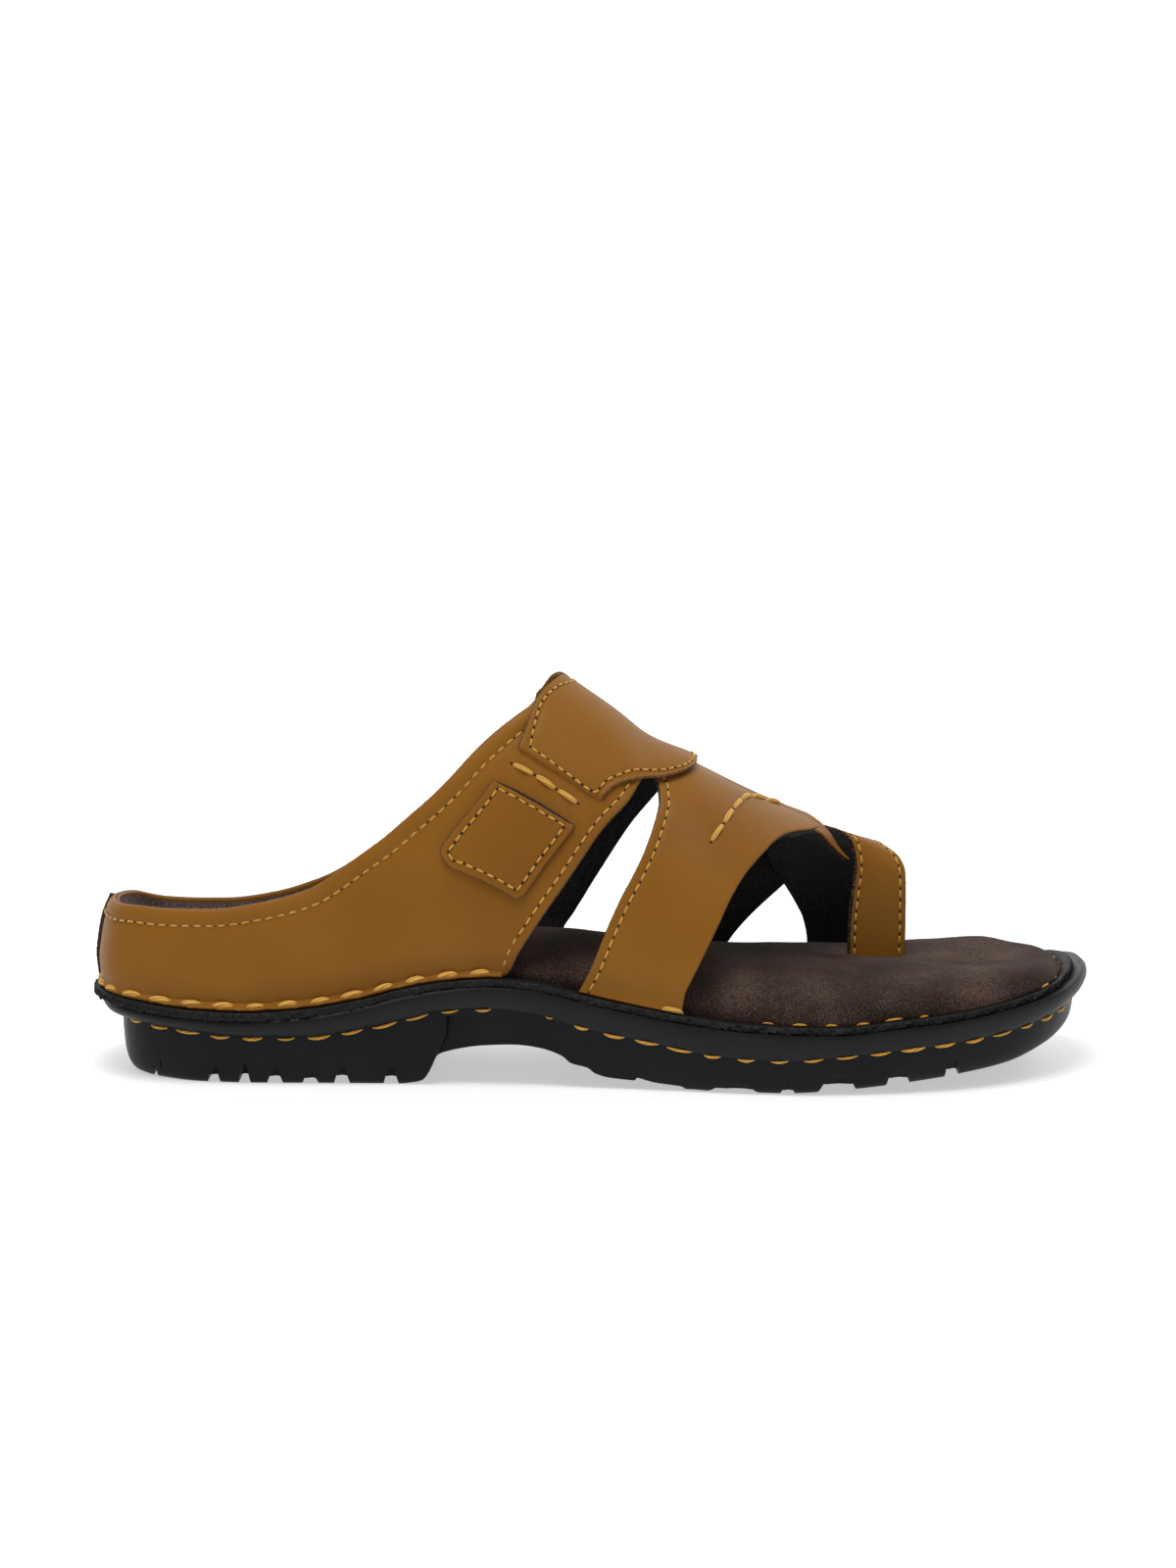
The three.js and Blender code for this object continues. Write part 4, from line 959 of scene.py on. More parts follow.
def leather_finish(name, light, middle, shade):
    """Smooth tan leather, matt with a soft gloss: fine pores and faint clouding."""
    material, tree, shader = finish(name, Specular_IOR_Level=0.14, Coat_Weight=0.02, Coat_Roughness=0.35)
    clouds = grain(tree, 19, 4)
    pores = grain(tree, 1150, kind="Voronoi")
    fine = grain(tree, 2600, 3)
    dressed(tree, shader,
            Base_Color=ramp(tree, clouds, [(0.25, shade), (0.5, middle), (0.8, light)]),
            Roughness=between(tree, grain(tree, 260, 3), 0.44, 0.6),
            Normal=bumped(tree, [(grain(tree, 70, 3), 0.16, 0.6), (pores, 0.16, 0.18), (fine, 0.18, 0.1)]))
    return material


tan_leather = leather_finish("tan_leather", TAN_LIGHT, TAN, TAN_SHADE)


def edge_finish(name, dark, fibre, first, last):
    """Cut edge: its fibres show between the two levels given."""
    material, tree, shader = finish(name, Roughness=0.88, Specular_IOR_Level=0.2)
    fibres = grain(tree, 1700, 4)
    dressed(tree, shader,
            Base_Color=ramp(tree, fibres, [(first, dark), (last, fibre)]),
            Normal=bumped(tree, [(fibres, 0.8, 0.3)]))
    return material


raw_edge = edge_finish("cut_leather_edge", RAW_BROWN, RAW_FIBRE, 0.4, 0.8)
black_lining, tree, shader = finish("black_lining", Roughness=0.85, Specular_IOR_Level=0.25,
                                    Sheen_Weight=0.08)
weave = grain(tree, 1500, 4)
dressed(tree, shader,
        Base_Color=ramp(tree, weave, [(0.4, LINING_BLACK), (0.8, LINING_WORN)]),
        Normal=bumped(tree, [(weave, 0.5, 0.2)]))
# Collar suede: its colours carry painted light for the shaded inside of the heel.
collar_suede_painted_light = suede_finish("collar_suede_painted_light", COLLAR_DEEP_LIT, COLLAR_BROWN_LIT, COLLAR_NAP_LIT)
LEATHER = [tan_leather, raw_edge, black_lining, collar_suede_painted_light]


# Turned-out foot: profile across it from the wall out, as share of its width and height above the board
FOOT_PROFILE = [(-0.45, 3.3), (-0.2, 2.5), (0.0, 1.9), (0.15, 1.5), (0.35, 1.25), (0.6, 1.1), (0.85, 1.0),
                (0.96, 0.85), (1.0, 0.6), (0.97, 0.3), (0.85, 0.02), (-0.3, 0.02)]
FOOT_EDGE = 1.7
HAND_PITCH, HAND_STITCH, HAND_THREAD = 9.3, 6.9, 2.0
HAND_SHARE, HAND_HIGH = 0.45, 0.8
WAVES = [9.3, 5.2, 3.1, 14.0]


def foot_setbacks(side, at):
    column = np.where(side == OUTER, smooth(SECTION[:, 0], SECTION[:, 1], at),
                      smooth(SECTION[:, 0], SECTION[:, 2], at))
    return SETBACK * column + CREASE, sole("board", at) + FOOT_EDGE


def turned_foot(name, first, last, steps, seed):
    """Foot from one walk angle to the other, negative on the outer side and 0 at the heel tip."""
    walk = np.linspace(first, last, steps)
    side, at = np.where(walk < 0, OUTER, INNER), at_of_angle(np.abs(walk))
    inner_line, outer_line = foot_setbacks(side, at)
    uneven = ripple(walk_of(side, at), WAVES, seed)
    points = []
    for share, high in FOOT_PROFILE:
        out = max(share, 0) ** 3
        flat = plan_point(side, at, lerp(inner_line, outer_line, share) - 0.6 * uneven * out)
        lift = 0.35 * ripple(walk_of(side, at), WAVES, seed + 1) * out if high > 0.1 else 0
        z = board_top(share_of_x(flat[:, 0])) + SEAM_GAP + high + lift
        points.append(np.column_stack([flat, z]))
    points = np.stack(points, 1)
    rows = len(FOOT_PROFILE)
    faces = rounds((steps, rows))
    faces += [list(range(rows))[::-1], list(range((steps - 1) * rows, steps * rows))]
    flat_points = points.reshape(-1, 3)
    return made(name, flat_points, facing_out(flat_points, faces), [tan_leather], sharp=60)


def hand_line(first, last, share=HAND_SHARE, high=HAND_HIGH):
    """Line of stitches on the turned-out foot, at a share of its width and a height above the board."""
    walk = np.linspace(first, last, 400)
    side, at = np.where(walk < 0, OUTER, INNER), at_of_angle(np.abs(walk))
    inner_line, outer_line = foot_setbacks(side, at)
    flat = plan_point(side, at, lerp(inner_line, outer_line, share))
    out = np.column_stack([-0.75 * plan_inward(side, at), np.full(400, 0.75)])
    return np.column_stack([flat, board_top(share_of_x(flat[:, 0])) + SEAM_GAP + high]), unit(out)


quarter_ends = -float(angle_of(0.411)), float(angle_of(0.455))
hand_walk = np.linspace(quarter_ends[0] + 0.004, quarter_ends[1] - 0.004, 400)
hand_path, hand_out = hand_line(hand_walk[0], hand_walk[-1])
hand_length = np.concatenate([[0], np.cumsum(np.linalg.norm(np.diff(hand_path, axis=0), axis=1))])
hand_step = hand_length[-1] / round(hand_length[-1] / HAND_PITCH)


def gathers(u, foot):
    """The hand stitches draw the leather in at each stitch and let it swell between them."""
    share = np.abs(1 - 2 * u)
    ribs = np.where(u <= 0.5, -1, 1) * np.where(
        u <= 0.5, smooth(np.arange(len(QUARTER_OUTER)), angle_of(QUARTER_OUTER[:, 0]), share * 16),
        smooth(np.arange(len(QUARTER_INNER)), angle_of(QUARTER_INNER[:, 0]), share * 16))
    stitch = np.interp(ribs, hand_walk, hand_length) / hand_step
    return -GATHER * np.cos(2 * math.pi * stitch) * np.exp(-foot / 3.5) * (share < 0.57)


def quarter_relief(u, v, foot, topline):
    roll = -TOPLINE_ROLL * np.clip(np.sin(math.pi * np.clip(topline / TOPLINE_MARGIN, 0, 1)), 0, 1) ** 0.8
    front = np.where(np.abs(u - 0.5) > 0.31, seam_dip(foot, EDGE_MARGIN), 0)
    return roll + seam_dip(topline, TOPLINE_MARGIN) + front + gathers(u, foot) + heel_lean(u, topline)


def heel_lean(u, topline):
    return HEEL_LEAN * np.exp(-((topline / LEAN_DEEP) ** 1.5) - ((u - 0.5) / LEAN_WIDE) ** 2)


def quarter_padding(u, v, foot, topline):
    """The collar's foam swells its suede lining a little below the topline."""
    heel = np.clip(1.35 - np.abs(u - 0.5) / COLLAR_PAD_WIDE, 0, 1)
    foam = COLLAR_PAD * heel * np.exp(-(((topline - COLLAR_PAD_AT) / COLLAR_PAD_SPREAD) ** 2))
    return foam + heel_lean(u, topline)


def quarter_lining(middle, topline):
    """The roll's leather turns in over the top, then comes the suede collar at the heel, or black lining."""
    inside = np.where(middle[:, 0] < COLLAR_FRONT, 3, 2)
    return np.where(topline < ROLL_LINING, 0, inside)


quarters = panel("leather_quarters", quarter_place, np.arange(QUARTER_GRID[0]) / QUARTER_GRID[0],
                 spread(QUARTER_GRID[1], 0.012), 0, WALL, LEATHER, closed=True, relief=quarter_relief,
                 padding=quarter_padding, lining=quarter_lining, lip=0.7,
                 raw=lambda u, v, foot, topline: CUT_SHOWN * ((foot < topline) & (np.abs(u - 0.5) > 0.285)))
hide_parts("upper")


def beside(place, edge, margin, start, end, top, closed=False, count=300):
    """Line on a panel's face at a margin in from its first (0) or second (1) long edge."""
    u = np.linspace(start, end, count)
    size = skin(place, u, np.full(count, float(edge)), closed)[3]
    v = np.clip(margin / size if edge == 0 else 1 - margin / size, 0, 1)
    points, inward, _, _ = skin(place, u, v, closed)
    return points + inward * top, -inward


# GOLD_SHADE is painted shade in the grooves between the cord's strands.
GOLD_THREAD, GOLD_SHADE = (0.76, 0.42, 0.075), (0.36, 0.17, 0.018)
gold_thread = thread_finish("gold_thread", GOLD_THREAD, GOLD_SHADE, 3, 0.45)
gold_cord = thread_finish("gold_cord", GOLD_THREAD, GOLD_SHADE, 5, 0.15)
quarter_foot = turned_foot("quarter_foot", *quarter_ends, 900, 21)
stitches("hand_stitches", [(hand_path, hand_out)], HAND_PITCH, HAND_STITCH, HAND_THREAD, gold_cord, proud=0.3,
         sink=0.8, sag=-0.3, tilt=0.3, rings=19, sides=14, taper=2.6, uneven=0.12)

FINE_PITCH, FINE_STITCH, FINE_THREAD, FINE_HOLE = 3.5, 3.0, 0.66, 0.46
fine = {"thread": gold_thread, "proud": 0.14, "sink": 0.4, "rings": 7, "sides": 8, "hole": FINE_HOLE,
        "uneven": 0.06}
topline_seam = beside(quarter_place, 1, TOPLINE_MARGIN, 0.05, 0.95, SEAM_DIP, True, 900)
front_outer = beside(quarter_place, 0, EDGE_MARGIN, 0.0, FRONT_SEAM, SEAM_DIP, True)
front_inner = beside(quarter_place, 0, EDGE_MARGIN, 1 - FRONT_SEAM, 1.0, SEAM_DIP, True)
stitches("quarter_stitches", [topline_seam, front_outer, front_inner], FINE_PITCH, FINE_STITCH, FINE_THREAD,
         **fine)


# Back seam
# The quarters' two ends are closed up the heel with their raw edges turned out, a dark double ridge.
RIDGE, RIDGE_WIDE = 1.3, 1.8
RIDGE_STEPS = 60
RIDGE_RAG, RIDGE_TEARS = 0.12, [3.1, 1.7, 1.1]

# Across the two raw edges: share of half their width, share of their height
RIDGE_SECTION = [(-1, -0.8), (-0.95, 0.55), (-0.6, 1.0), (-0.15, 0.7), (0, 0.15), (0.15, 0.7), (0.6, 1.0),
                 (0.95, 0.55), (1, -0.8)]
seam_edge = edge_finish("seam_edge", (0.045, 0.019, 0.009), (0.10, 0.05, 0.028), 0.4, 0.8)


def back_ridge():
    v = np.linspace(0.05, 0.995, RIDGE_STEPS)
    points, inward, _, size_v = skin(quarter_place, np.full(RIDGE_STEPS, 0.5), v, True)
    points = points + inward * heel_lean(0.5, (1 - v) * size_v)[:, None]
    out = -inward
    across = unit(np.cross(np.gradient(points, axis=0), out))
    walk = np.arange(RIDGE_STEPS)[:, None] * 0.7
    rag = RIDGE_RAG * ripple(walk, RIDGE_TEARS, 31)
    rows = [points + across * (RIDGE_WIDE / 2 * aside + 0.5 * rag * aside)
            + out * (RIDGE * high + rag * (high > 0)) for aside, high in RIDGE_SECTION]
    ridge = np.stack(rows, 1).reshape(-1, 3)
    count = len(RIDGE_SECTION)
    last = (RIDGE_STEPS - 1) * count
    faces = rounds((RIDGE_STEPS, count)) + [list(range(count))[::-1], list(range(last, last + count))]
    return made("back_seam", ridge, facing_out(ridge, faces), [seam_edge], sharp=60)


back_seam = back_ridge()


# Vamp strap and tongue
# A broad lined strap over the ball, under the band at its rear and lasted onto the board at both ends. Its
# front runs on as a short tongue that dips to the toe ring.
STRAP_WALL, STRAP_SINK = 1.8, 0.8
VAMP_GRID, TONGUE_GRID = (190, 60), (26, 30)
VAMP_FLARE, FLARE_RUN = 1.3, 0.012
VAMP_SEAM = 0.004, 0.996   # where its stitches start and end, as shares of the strap
CORNER, CORNER_THREAD = (0.593, 0.569), 1.5
VAMP = np.array([
    [0.488, 0.000, 0.590, 0.000], [0.498, 0.045, 0.592, 0.045], [0.515, 0.149, 0.607, 0.140],
    [0.530, 0.240, 0.626, 0.252], [0.544, 0.320, 0.642, 0.350], [0.557, 0.410, 0.660, 0.445],
    [0.566, 0.489, 0.678, 0.525], [0.572, 0.550, 0.692, 0.585], [0.576, 0.610, 0.706, 0.645],
    [0.5765, 0.670, 0.722, 0.702], [0.5715, 0.740, 0.742, 0.757], [0.569, 0.820, 0.763, 0.810],
    [0.571, 0.910, 0.782, 0.890], [0.575, 1.000, 0.790, 1.000], [0.577, 1.100, 0.770, 1.100],
    [0.580, 1.220, 0.755, 1.220], [0.583, 1.340, 0.748, 1.340], [0.585, 1.450, 0.744, 1.450],
    [0.583, 1.550, 0.738, 1.560], [0.579, 1.640, 0.723, 1.656], [0.574, 1.710, 0.708, 1.720],
    [0.568, 1.780, 0.690, 1.780], [0.562, 1.850, 0.669, 1.845], [0.556, 1.920, 0.649, 1.912],
    [0.549, 2.000, 0.628, 2.000]])

# A free strap's rear and front edge: x in shares of the length from the middle, y of half the width, z of
# the height over the big toe
TONGUE = np.array([
    [0.2128, 0.170, 1.130, 0.1988, -0.220, 1.098], [0.2293, 0.158, 1.122, 0.2125, -0.125, 1.102],
    [0.2382, 0.160, 1.088, 0.2234, -0.040, 1.095], [0.2446, 0.170, 1.054, 0.2335, 0.020, 1.068],
    [0.2524, 0.180, 0.995, 0.2439, 0.095, 1.012], [0.2590, 0.190, 0.957, 0.2543, 0.150, 0.965],
    [0.2648, 0.195, 0.929, 0.2630, 0.175, 0.933]])


def last_around(at, around):
    """Point of the last over both sides: around 0 is the outer feather edge, 1 the crest, 2 the inner one."""
    return last_point(np.where(around > 1, INNER, OUTER), at, 1 - np.abs(1 - around))


def vamp_place(u, v):
    return last_around(*rib_places(VAMP, u, v))


def strap_place(edges):
    scale = np.array([LENGTH, WIDTH / 2, SPRING_HEIGHT])

    def place(u, v):
        u, v = np.broadcast_arrays(u, v)
        rows, down = np.arange(len(edges)), u * (len(edges) - 1)
        line = [smooth(rows, edges[:, k], down) for k in range(6)]
        return lerp(np.stack(line[:3], -1) * scale, np.stack(line[3:], -1) * scale, v[..., None])

    return place


def flared(u):
    """Both feet flare a little where they meet the board."""
    return VAMP_FLARE * (np.exp(-u / FLARE_RUN) + np.exp((u - 1) / FLARE_RUN))


def vamp_relief(u, v, rear, front):
    return seam_dip(rear, EDGE_MARGIN) - flared(u)


DYED_BLACK, DYED_FIBRE = (0.010, 0.007, 0.005), (0.16, 0.10, 0.06)
dyed_edge = edge_finish("dyed_leather_edge", DYED_BLACK, DYED_FIBRE, 0.5, 0.68)
STRAP_LEATHER = [tan_leather, dyed_edge, black_lining]
tongue_place = strap_place(TONGUE)
vamp = panel("vamp_strap", vamp_place, spread(VAMP_GRID[0], 0.004), spread(VAMP_GRID[1], 0.01), STRAP_SINK,
             STRAP_SINK + STRAP_WALL, STRAP_LEATHER, relief=vamp_relief,
             raw=lambda u, v, rear, front: 0.25 * (rear < front), seed=3)
tongue = panel("vamp_tongue", tongue_place, spread(TONGUE_GRID[0], 0.02), spread(TONGUE_GRID[1], 0.02), 0,
               STRAP_WALL, STRAP_LEATHER, raw=lambda u, v, inner, outer: 0 * u, seed=4)
seam_depth = STRAP_SINK + SEAM_DIP - flared(np.linspace(*VAMP_SEAM, 300))[:, None]
rear_seam = beside(vamp_place, 0, EDGE_MARGIN, *VAMP_SEAM, seam_depth)
stitches("vamp_stitches", [rear_seam], FINE_PITCH, FINE_STITCH, FINE_THREAD, **fine)
corner = hand_line(-angle_of(CORNER[0]), -angle_of(CORNER[1]), 0.2, 0.6)
stitches("vamp_corner_stitch", [corner], HAND_PITCH, HAND_STITCH, CORNER_THREAD, gold_cord, proud=0.3,
         sink=0.8, rings=19, sides=14)


# Toe ring
# A lined strap that comes up between the first two toes, crosses the big toe and goes down to the inner
# side of the board. Both its edges are cut raw and sewn.
RING_GRID = (150, 40)
RING = np.array([
    [0.2625, 0.154, 0.320, 0.3210, 0.154, 0.340], [0.2625, 0.154, 0.480, 0.3210, 0.154, 0.480],
    [0.2630, 0.154, 0.628, 0.3215, 0.154, 0.620], [0.2660, 0.154, 0.770, 0.3215, 0.154, 0.760],
    [0.2690, 0.158, 0.900, 0.3210, 0.165, 0.870], [0.2650, 0.185, 1.010, 0.3160, 0.215, 0.935],
    [0.2500, 0.240, 1.068, 0.3060, 0.290, 0.970], [0.2250, 0.340, 1.085, 0.2990, 0.400, 0.985],
    [0.1960, 0.480, 1.040, 0.2970, 0.520, 0.970], [0.1840, 0.620, 0.935, 0.2990, 0.640, 0.915],
    [0.1920, 0.730, 0.840, 0.3040, 0.740, 0.820], [0.2040, 0.820, 0.745, 0.3100, 0.830, 0.715],
    [0.2160, 0.885, 0.650, 0.3170, 0.885, 0.600], [0.2250, 0.925, 0.560, 0.3220, 0.920, 0.500],
    [0.2300, 0.942, 0.440, 0.3240, 0.932, 0.420], [0.2310, 0.935, 0.290, 0.3240, 0.925, 0.310]])
RING_REAR_MARGIN, RING_FRONT_MARGIN = 2.1, 1.7

ring_place = strap_place(RING)
ring = panel("toe_ring", ring_place, spread(RING_GRID[0], 0.006), spread(RING_GRID[1], 0.025), 0, STRAP_WALL,
             STRAP_LEATHER, relief=lambda u, v, rear, front: (seam_dip(rear, RING_REAR_MARGIN)
                                                        + seam_dip(front, RING_FRONT_MARGIN)),
             raw=lambda u, v, rear, front: np.where(rear < front, 0.9, 0.25), seed=6)
ring_seams = [beside(ring_place, 0, RING_REAR_MARGIN, 0.06, 0.94, SEAM_DIP),
              beside(ring_place, 1, RING_FRONT_MARGIN, 0.06, 0.94, SEAM_DIP)]
stitches("ring_stitches", ring_seams, FINE_PITCH, FINE_STITCH, FINE_THREAD, **fine)


# Instep saddle
# A second layer of the tan leather over the top of the band, cut to a tongue at each side and sewn down
# all round. Its lower edge is skived thin.
OVERLAY = 1.2
SADDLE_GRID = (120, 60)
SADDLE_REAR_MARGIN, SADDLE_FRONT_MARGIN = 2.6, 1.7
SADDLE_PITCH, SADDLE_STITCH = 3.1, 2.4
SKIVE, SKIVE_RUN = 1.4, 0.011
SADDLE = np.array([
    [0.4225, 0.506, 0.509, 0.470], [0.4252, 0.535, 0.524, 0.537], [0.4305, 0.586, 0.541, 0.592],
    [0.4345, 0.639, 0.560, 0.651], [0.4390, 0.700, 0.583, 0.705], [0.4485, 0.790, 0.609, 0.785],
    [0.4580, 0.890, 0.6256, 0.882], [0.4640, 1.000, 0.632, 1.000], [0.4600, 1.060, 0.631, 1.055],
    [0.4520, 1.166, 0.622, 1.164], [0.4440, 1.275, 0.607, 1.258], [0.4370, 1.335, 0.590, 1.317],
    [0.4350, 1.400, 0.572, 1.378], [0.4340, 1.455, 0.552, 1.456], [0.4330, 1.479, 0.540, 1.500]])


def saddle_place(u, v):
    return last_around(*rib_places(SADDLE, u, v))


def on_last(rows, top, count=400):
    """Line through places on the last, given as share along and turn."""
    rows = np.array(rows)
    length = np.concatenate([[0], np.cumsum(np.hypot(np.diff(rows[:, 0]) * 300, np.diff(rows[:, 1]) * 90))])
    walk = np.linspace(0, length[-1], count)
    at, turn = smooth(length, rows[:, 0], walk), smooth(length, rows[:, 1], walk)
    small = 0.002
    points = last_around(at, turn)
    du = last_around(at + small, turn) - last_around(at - small, turn)
    dv = last_around(at, turn + small) - last_around(at, turn - small)
    out = -unit(np.cross(du, dv))
    out *= np.sign((out * np.array([0, 0, 1])).sum(-1, keepdims=True) + 1e-9)
    return points - out * top, out


def skived(u):
    """Both ends are pared down, so that they run out level with the band."""
    return SKIVE * (np.exp(-((u / SKIVE_RUN) ** 2)) + np.exp(-(((1 - u) / SKIVE_RUN) ** 2)))


saddle = panel("saddle_overlay", saddle_place, spread(SADDLE_GRID[0], 0.008), spread(SADDLE_GRID[1], 0.012),
               -SEAM_GAP - OVERLAY, -SEAM_GAP, [tan_leather, raw_edge, tan_leather], seed=8,
               relief=lambda u, v, rear, front: (seam_dip(rear, SADDLE_REAR_MARGIN)
                                                 + seam_dip(front, SADDLE_FRONT_MARGIN) + skived(u)),
               padding=lambda u, v, rear, front: skived(u),
               raw=lambda u, v, rear, front: CUT_SHOWN * (np.abs(u - 0.5) < 0.485))
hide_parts("instep_saddle")
overlay_face = 0.1 - SEAM_GAP - OVERLAY
saddle_seam = on_last([
    (0.4355, 0.525), (0.4369, 0.562), (0.4394, 0.618), (0.4431, 0.679), (0.4497, 0.741), (0.4597, 0.821),
    (0.473, 0.925), (0.478, 1.0), (0.474, 1.08), (0.463, 1.18), (0.455, 1.275), (0.449, 1.34), (0.444, 1.41),
    (0.442, 1.452), (0.444, 1.464), (0.49, 1.471), (0.532, 1.481), (0.543, 1.458), (0.564, 1.38),
    (0.583, 1.317), (0.599, 1.258), (0.614, 1.164), (0.624, 1.06), (0.6265, 1.0), (0.6225, 0.91),
    (0.6096, 0.816), (0.5887, 0.748), (0.5509, 0.658), (0.5284, 0.584), (0.5153, 0.539), (0.5019, 0.485),
    (0.4784, 0.500), (0.4555, 0.514), (0.4355, 0.525)], overlay_face)
stitches("saddle_stitches", [saddle_seam], SADDLE_PITCH, SADDLE_STITCH, FINE_THREAD, **fine)


# Square patch
# A patch of the tan leather on the outer quarter, rounded at its foot and sewn all round. Its straight top
# edge stands off a little; the shadow in the slit under it is painted as a dark strip.
PATCH_GRID = (44, 44)
PATCH_MARGIN = 2.2
PATCH_SEAM_MARGINS = (2.3, 1.4, 2.3, 2.3)
PATCH_PITCH, PATCH_STITCH = 3.3, 2.6
PATCH = np.array([
    [0.360, 0.221, 0.426, 0.162], [0.350, 0.242, 0.434, 0.176], [0.347, 0.257, 0.438, 0.190],
    [0.352, 0.273, 0.445, 0.214], [0.362, 0.297, 0.455, 0.252], [0.376, 0.331, 0.467, 0.298],
    [0.388, 0.365, 0.476, 0.335], [0.399, 0.404, 0.484, 0.370]])


def patch_place(u, v):
    return last_around(*rib_places(PATCH, u, v))


def all_round(place, margins, top, count=60):
    """Closed line on a panel's face at margins in from its rear, far, front and near edge."""
    rear, far, front, near = margins
    u, v = np.meshgrid(np.linspace(0, 1, 41), np.linspace(0, 1, 41), indexing="ij")
    _, _, wide, high = skin(place, u, v)

    def inset(u, v):
        """Steps a place on the panel's outline in by its margins."""
        i, j = np.clip((u * 40).astype(int), 0, 40), np.clip((v * 40).astype(int), 0, 40)
        w, h = np.maximum(wide[i, j], 3), np.maximum(high[i, j], 3)
        return (np.clip(u, near / w, 1 - far / w), np.clip(v, rear / h, 1 - front / h))

    t = np.linspace(0, 1, count)
    rim = [(t, 0 * t), (0 * t + 1, t), (1 - t, 0 * t + 1), (0 * t, 1 - t)]
    us, vs = (np.concatenate([side[k][:-1] for side in rim]) for k in (0, 1))
    us, vs = inset(np.append(us, us[0]), np.append(vs, vs[0]))
    points, inward, _, _ = skin(place, us, vs)
    points, out = points + inward * top, -inward
    kept = np.concatenate([[True], np.linalg.norm(np.diff(points, axis=0), axis=1) > 0.05])
    return points[kept], out[kept]


patch = panel("square_patch", patch_place, spread(PATCH_GRID[0], 0.02), spread(PATCH_GRID[1], 0.02),
              -SEAM_GAP - OVERLAY, -SEAM_GAP, LEATHER, seed=9,
              relief=lambda u, v, rear, front: seam_dip(np.minimum(rear, front), PATCH_MARGIN))
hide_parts("quarter_patch")
SLIT_WIDE = 0.8
SLIT_STEPS = 40

# Across the slit: share of its width up from the patch's edge, how far it stands proud
SLIT_SECTION = [(-0.4, 0.1), (-0.3, 0.75), (0.7, 0.32), (1.0, 0.5), (1.25, 0.12), (1.25, -0.4), (-0.4, -0.4)]
SLIT_FINISHES = [0, 0, 1, 1, 0, 0, 0]    # painted shade in its gap, and the grey fibres above it


def patch_slit():
    """Dark strip of painted shade for the gap above the patch's top edge, widest in its middle, with the grey
    fibres of the cut over it.
    """
    v = np.linspace(0.0, 1.0, SLIT_STEPS)
    top, inward, _, _ = skin(patch_place, np.ones(SLIT_STEPS), v)
    up = unit(top - patch_place(np.full(SLIT_STEPS, 0.97), v))
    wide = (SLIT_WIDE * np.sin(math.pi * np.clip(v, 0.02, 0.98)) ** 0.6)[:, None]
    rows = [top + up * wide * across - inward * proud for across, proud in SLIT_SECTION]
    points = np.stack(rows, 1).reshape(-1, 3)
    count = len(SLIT_SECTION)
    last = (SLIT_STEPS - 1) * count
    faces = rounds((SLIT_STEPS, count)) + [list(range(count))[::-1], list(range(last, last + count))]
    which = SLIT_FINISHES * (SLIT_STEPS - 1) + [0, 0]
    return made("patch_slit", points, facing_out(points, faces), [hole_shade, raw_edge], which, 60)


patch_slit()
patch_seam = all_round(patch_place, PATCH_SEAM_MARGINS, overlay_face)
stitches("patch_stitches", [patch_seam], PATCH_PITCH, PATCH_STITCH, FINE_THREAD, **fine)


# Heavy hand stitches
# Short rows of thick waxed gold cord, worked through the finished upper as trim: three stitches on the
# outer quarter and a row across the vamp.
CORD_THREAD = 1.55
QUARTER_CORD, VAMP_CORD = (7.6, 7.5), (8.7, 8.7)    # pitch and stitch of each row
heavy = {"thread": gold_cord, "proud": 0.4, "sink": 0.75, "rings": 21, "sides": 14, "taper": 3.6,
         "uneven": 0.1, "hole": 0.5}
quarter_row = on_last([(0.4168, 0.462), (0.440, 0.458), (0.4627, 0.448), (0.4873, 0.436)], 0)
vamp_row = on_last([(0.6274, 0.512), (0.6453, 0.607), (0.656, 0.670), (0.668, 0.739), (0.6906, 0.868),
                    (0.727, 1.0), (0.740, 1.05)], STRAP_SINK)
stitches("quarter_cords", [quarter_row], *QUARTER_CORD, CORD_THREAD, **heavy)
stitches("vamp_cords", [vamp_row], *VAMP_CORD, CORD_THREAD, **heavy)


# Floor, light and camera
# A plain pale floor under soft studio light from above, seen from the sandal's outer side and a little
# above it.
REACH, SWEEP_START, SWEEP_RADIUS, WALL_TOP = 4.0, 1.5, 1.2, 4.0
PALE = 0.62
STUDIO_LIGHT, FLOOR_GLOW, BACK_GLOW = 0.32, 0.5, 0.85
GLOW_NEAR, GLOW_FAR = 0.15, 1.5
CAMERA_PLACE, CAMERA_TILT, CAMERA_LENS = (-0.0007, -1.0, 0.2052), 6.987, 78.71

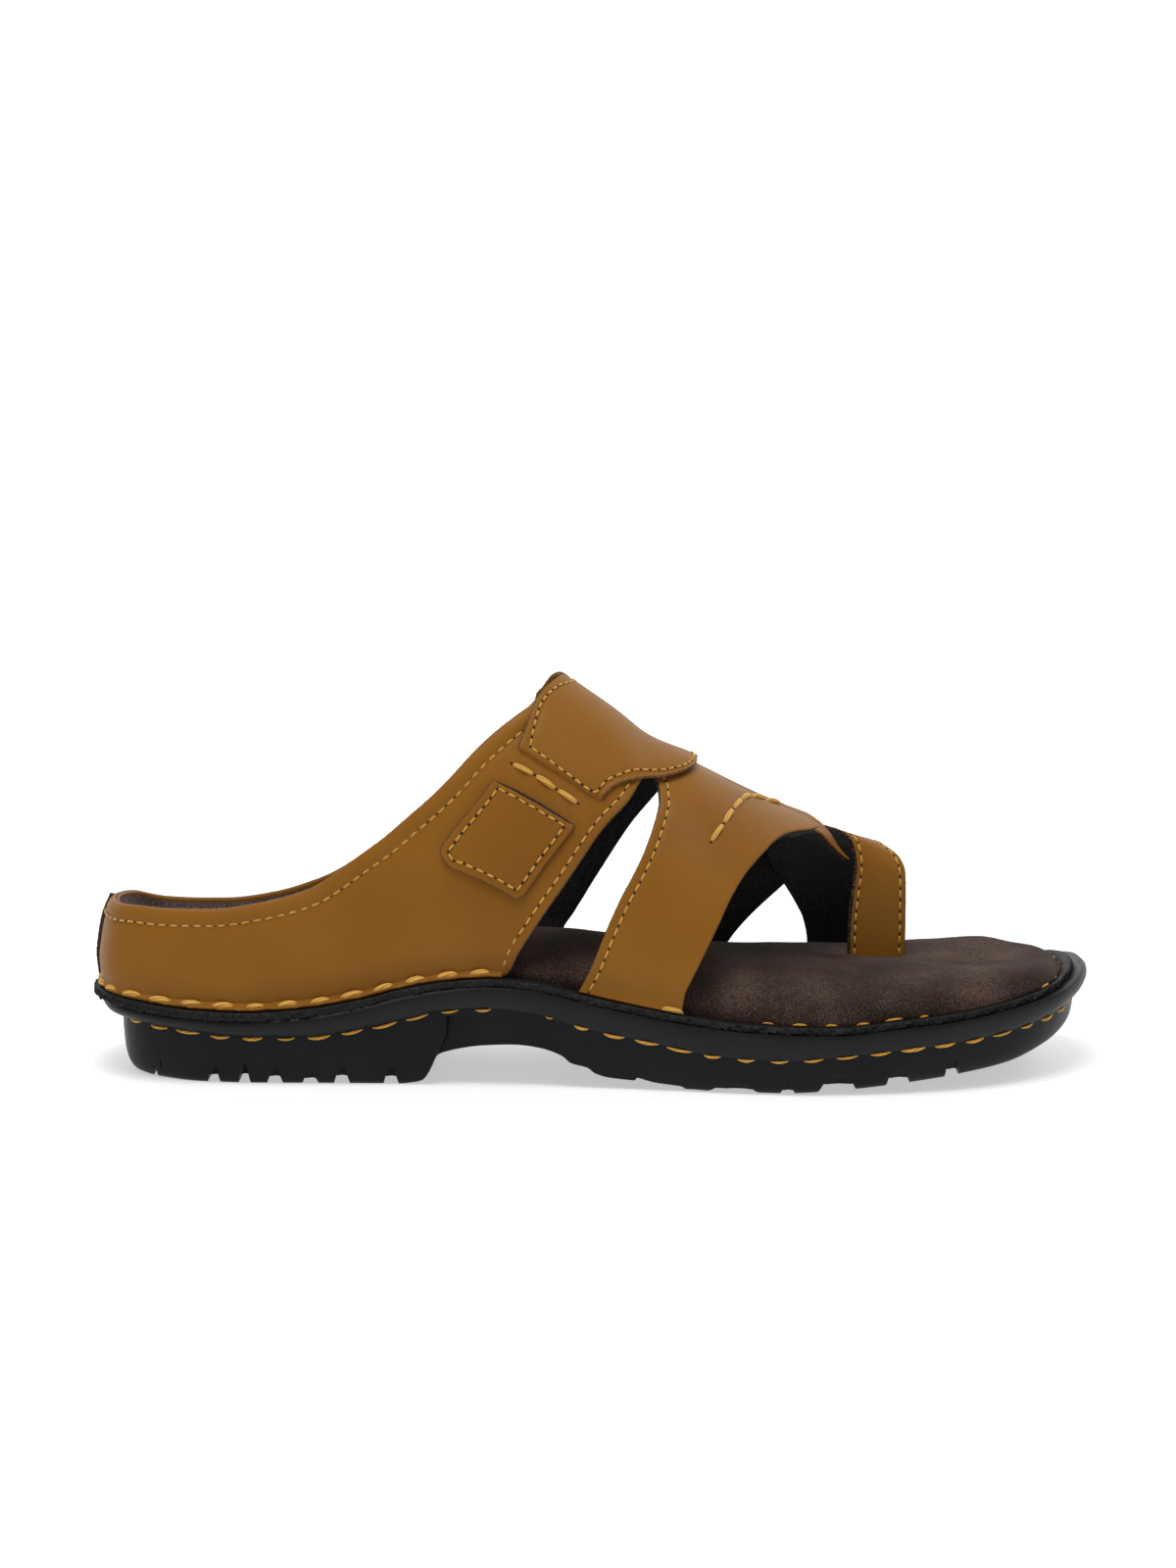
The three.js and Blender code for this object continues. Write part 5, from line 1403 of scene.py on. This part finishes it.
sweep = [(-REACH, 0.0)]
for step in range(17):
    angle = math.pi / 2 * step / 16
    sweep.append((SWEEP_START + SWEEP_RADIUS * math.sin(angle), SWEEP_RADIUS * (1 - math.cos(angle))))
sweep.append((SWEEP_START + SWEEP_RADIUS, WALL_TOP))
floor_mesh = bpy.data.meshes.new("floor")
floor_mesh.from_pydata([(x, y, z) for x in (-REACH, REACH) for y, z in sweep], [],
                       [(k, k + len(sweep), k + len(sweep) + 1, k + 1) for k in range(len(sweep) - 1)])
floor_mesh.polygons.foreach_set("use_smooth", np.ones(len(floor_mesh.polygons), bool))
floor = bpy.data.objects.new("floor", floor_mesh)
bpy.context.scene.collection.objects.link(floor)
floor_white, tree, shader = finish("floor_white", Roughness=0.6, Specular_IOR_Level=0.3,
                                   Emission_Color=(1, 1, 1, 1))
behind = node(tree, "SeparateXYZ", {"Vector": node(tree, "TexCoord").outputs["Object"]}).outputs["Y"]
glow = node(tree, "MapRange", {"Value": behind, "From Min": GLOW_NEAR, "From Max": GLOW_FAR,
                               "To Min": FLOOR_GLOW, "To Max": BACK_GLOW}).outputs["Result"]
dressed(tree, shader, Emission_Strength=glow,
        Base_Color=ramp(tree, grain(tree, 3), [(0.3, (PALE,) * 3), (0.7, (PALE + 0.02,) * 3)]))
floor_mesh.materials.append(floor_white)

world = bpy.data.worlds.new("studio")
world.use_nodes = True
world.node_tree.nodes["Background"].inputs["Color"].default_value = (1, 1, 1, 1)
world.node_tree.nodes["Background"].inputs["Strength"].default_value = STUDIO_LIGHT
bpy.context.scene.world = world


def softbox(name, place, target, size, power):
    light = bpy.data.lights.new(name, "AREA")
    light.shape, light.size, light.energy = "DISK", size, power
    lamp = bpy.data.objects.new(name, light)
    lamp.location = place
    lamp.rotation_euler = (Vector(target) - Vector(place)).to_track_quat("-Z", "Y").to_euler()
    bpy.context.scene.collection.objects.link(lamp)


softbox("key_light", (-0.12, -0.34, 1.32), (0, 0, 0.03), 0.75, 12)
softbox("back_light", (0.9, 0.5, 0.9), (0.1, 0, 0.03), 0.5, 2)

lens = bpy.data.cameras.new("camera")
lens.sensor_fit, lens.sensor_width, lens.lens = "AUTO", 36, CAMERA_LENS
lens.clip_start, lens.clip_end = 0.01, 50
camera = bpy.data.objects.new("camera", lens)
camera.location = CAMERA_PLACE
camera.rotation_euler = (math.radians(90 - CAMERA_TILT), 0, 0)
bpy.context.scene.collection.objects.link(camera)
bpy.context.scene.camera = camera
bpy.context.scene.view_settings.view_transform = "Standard"
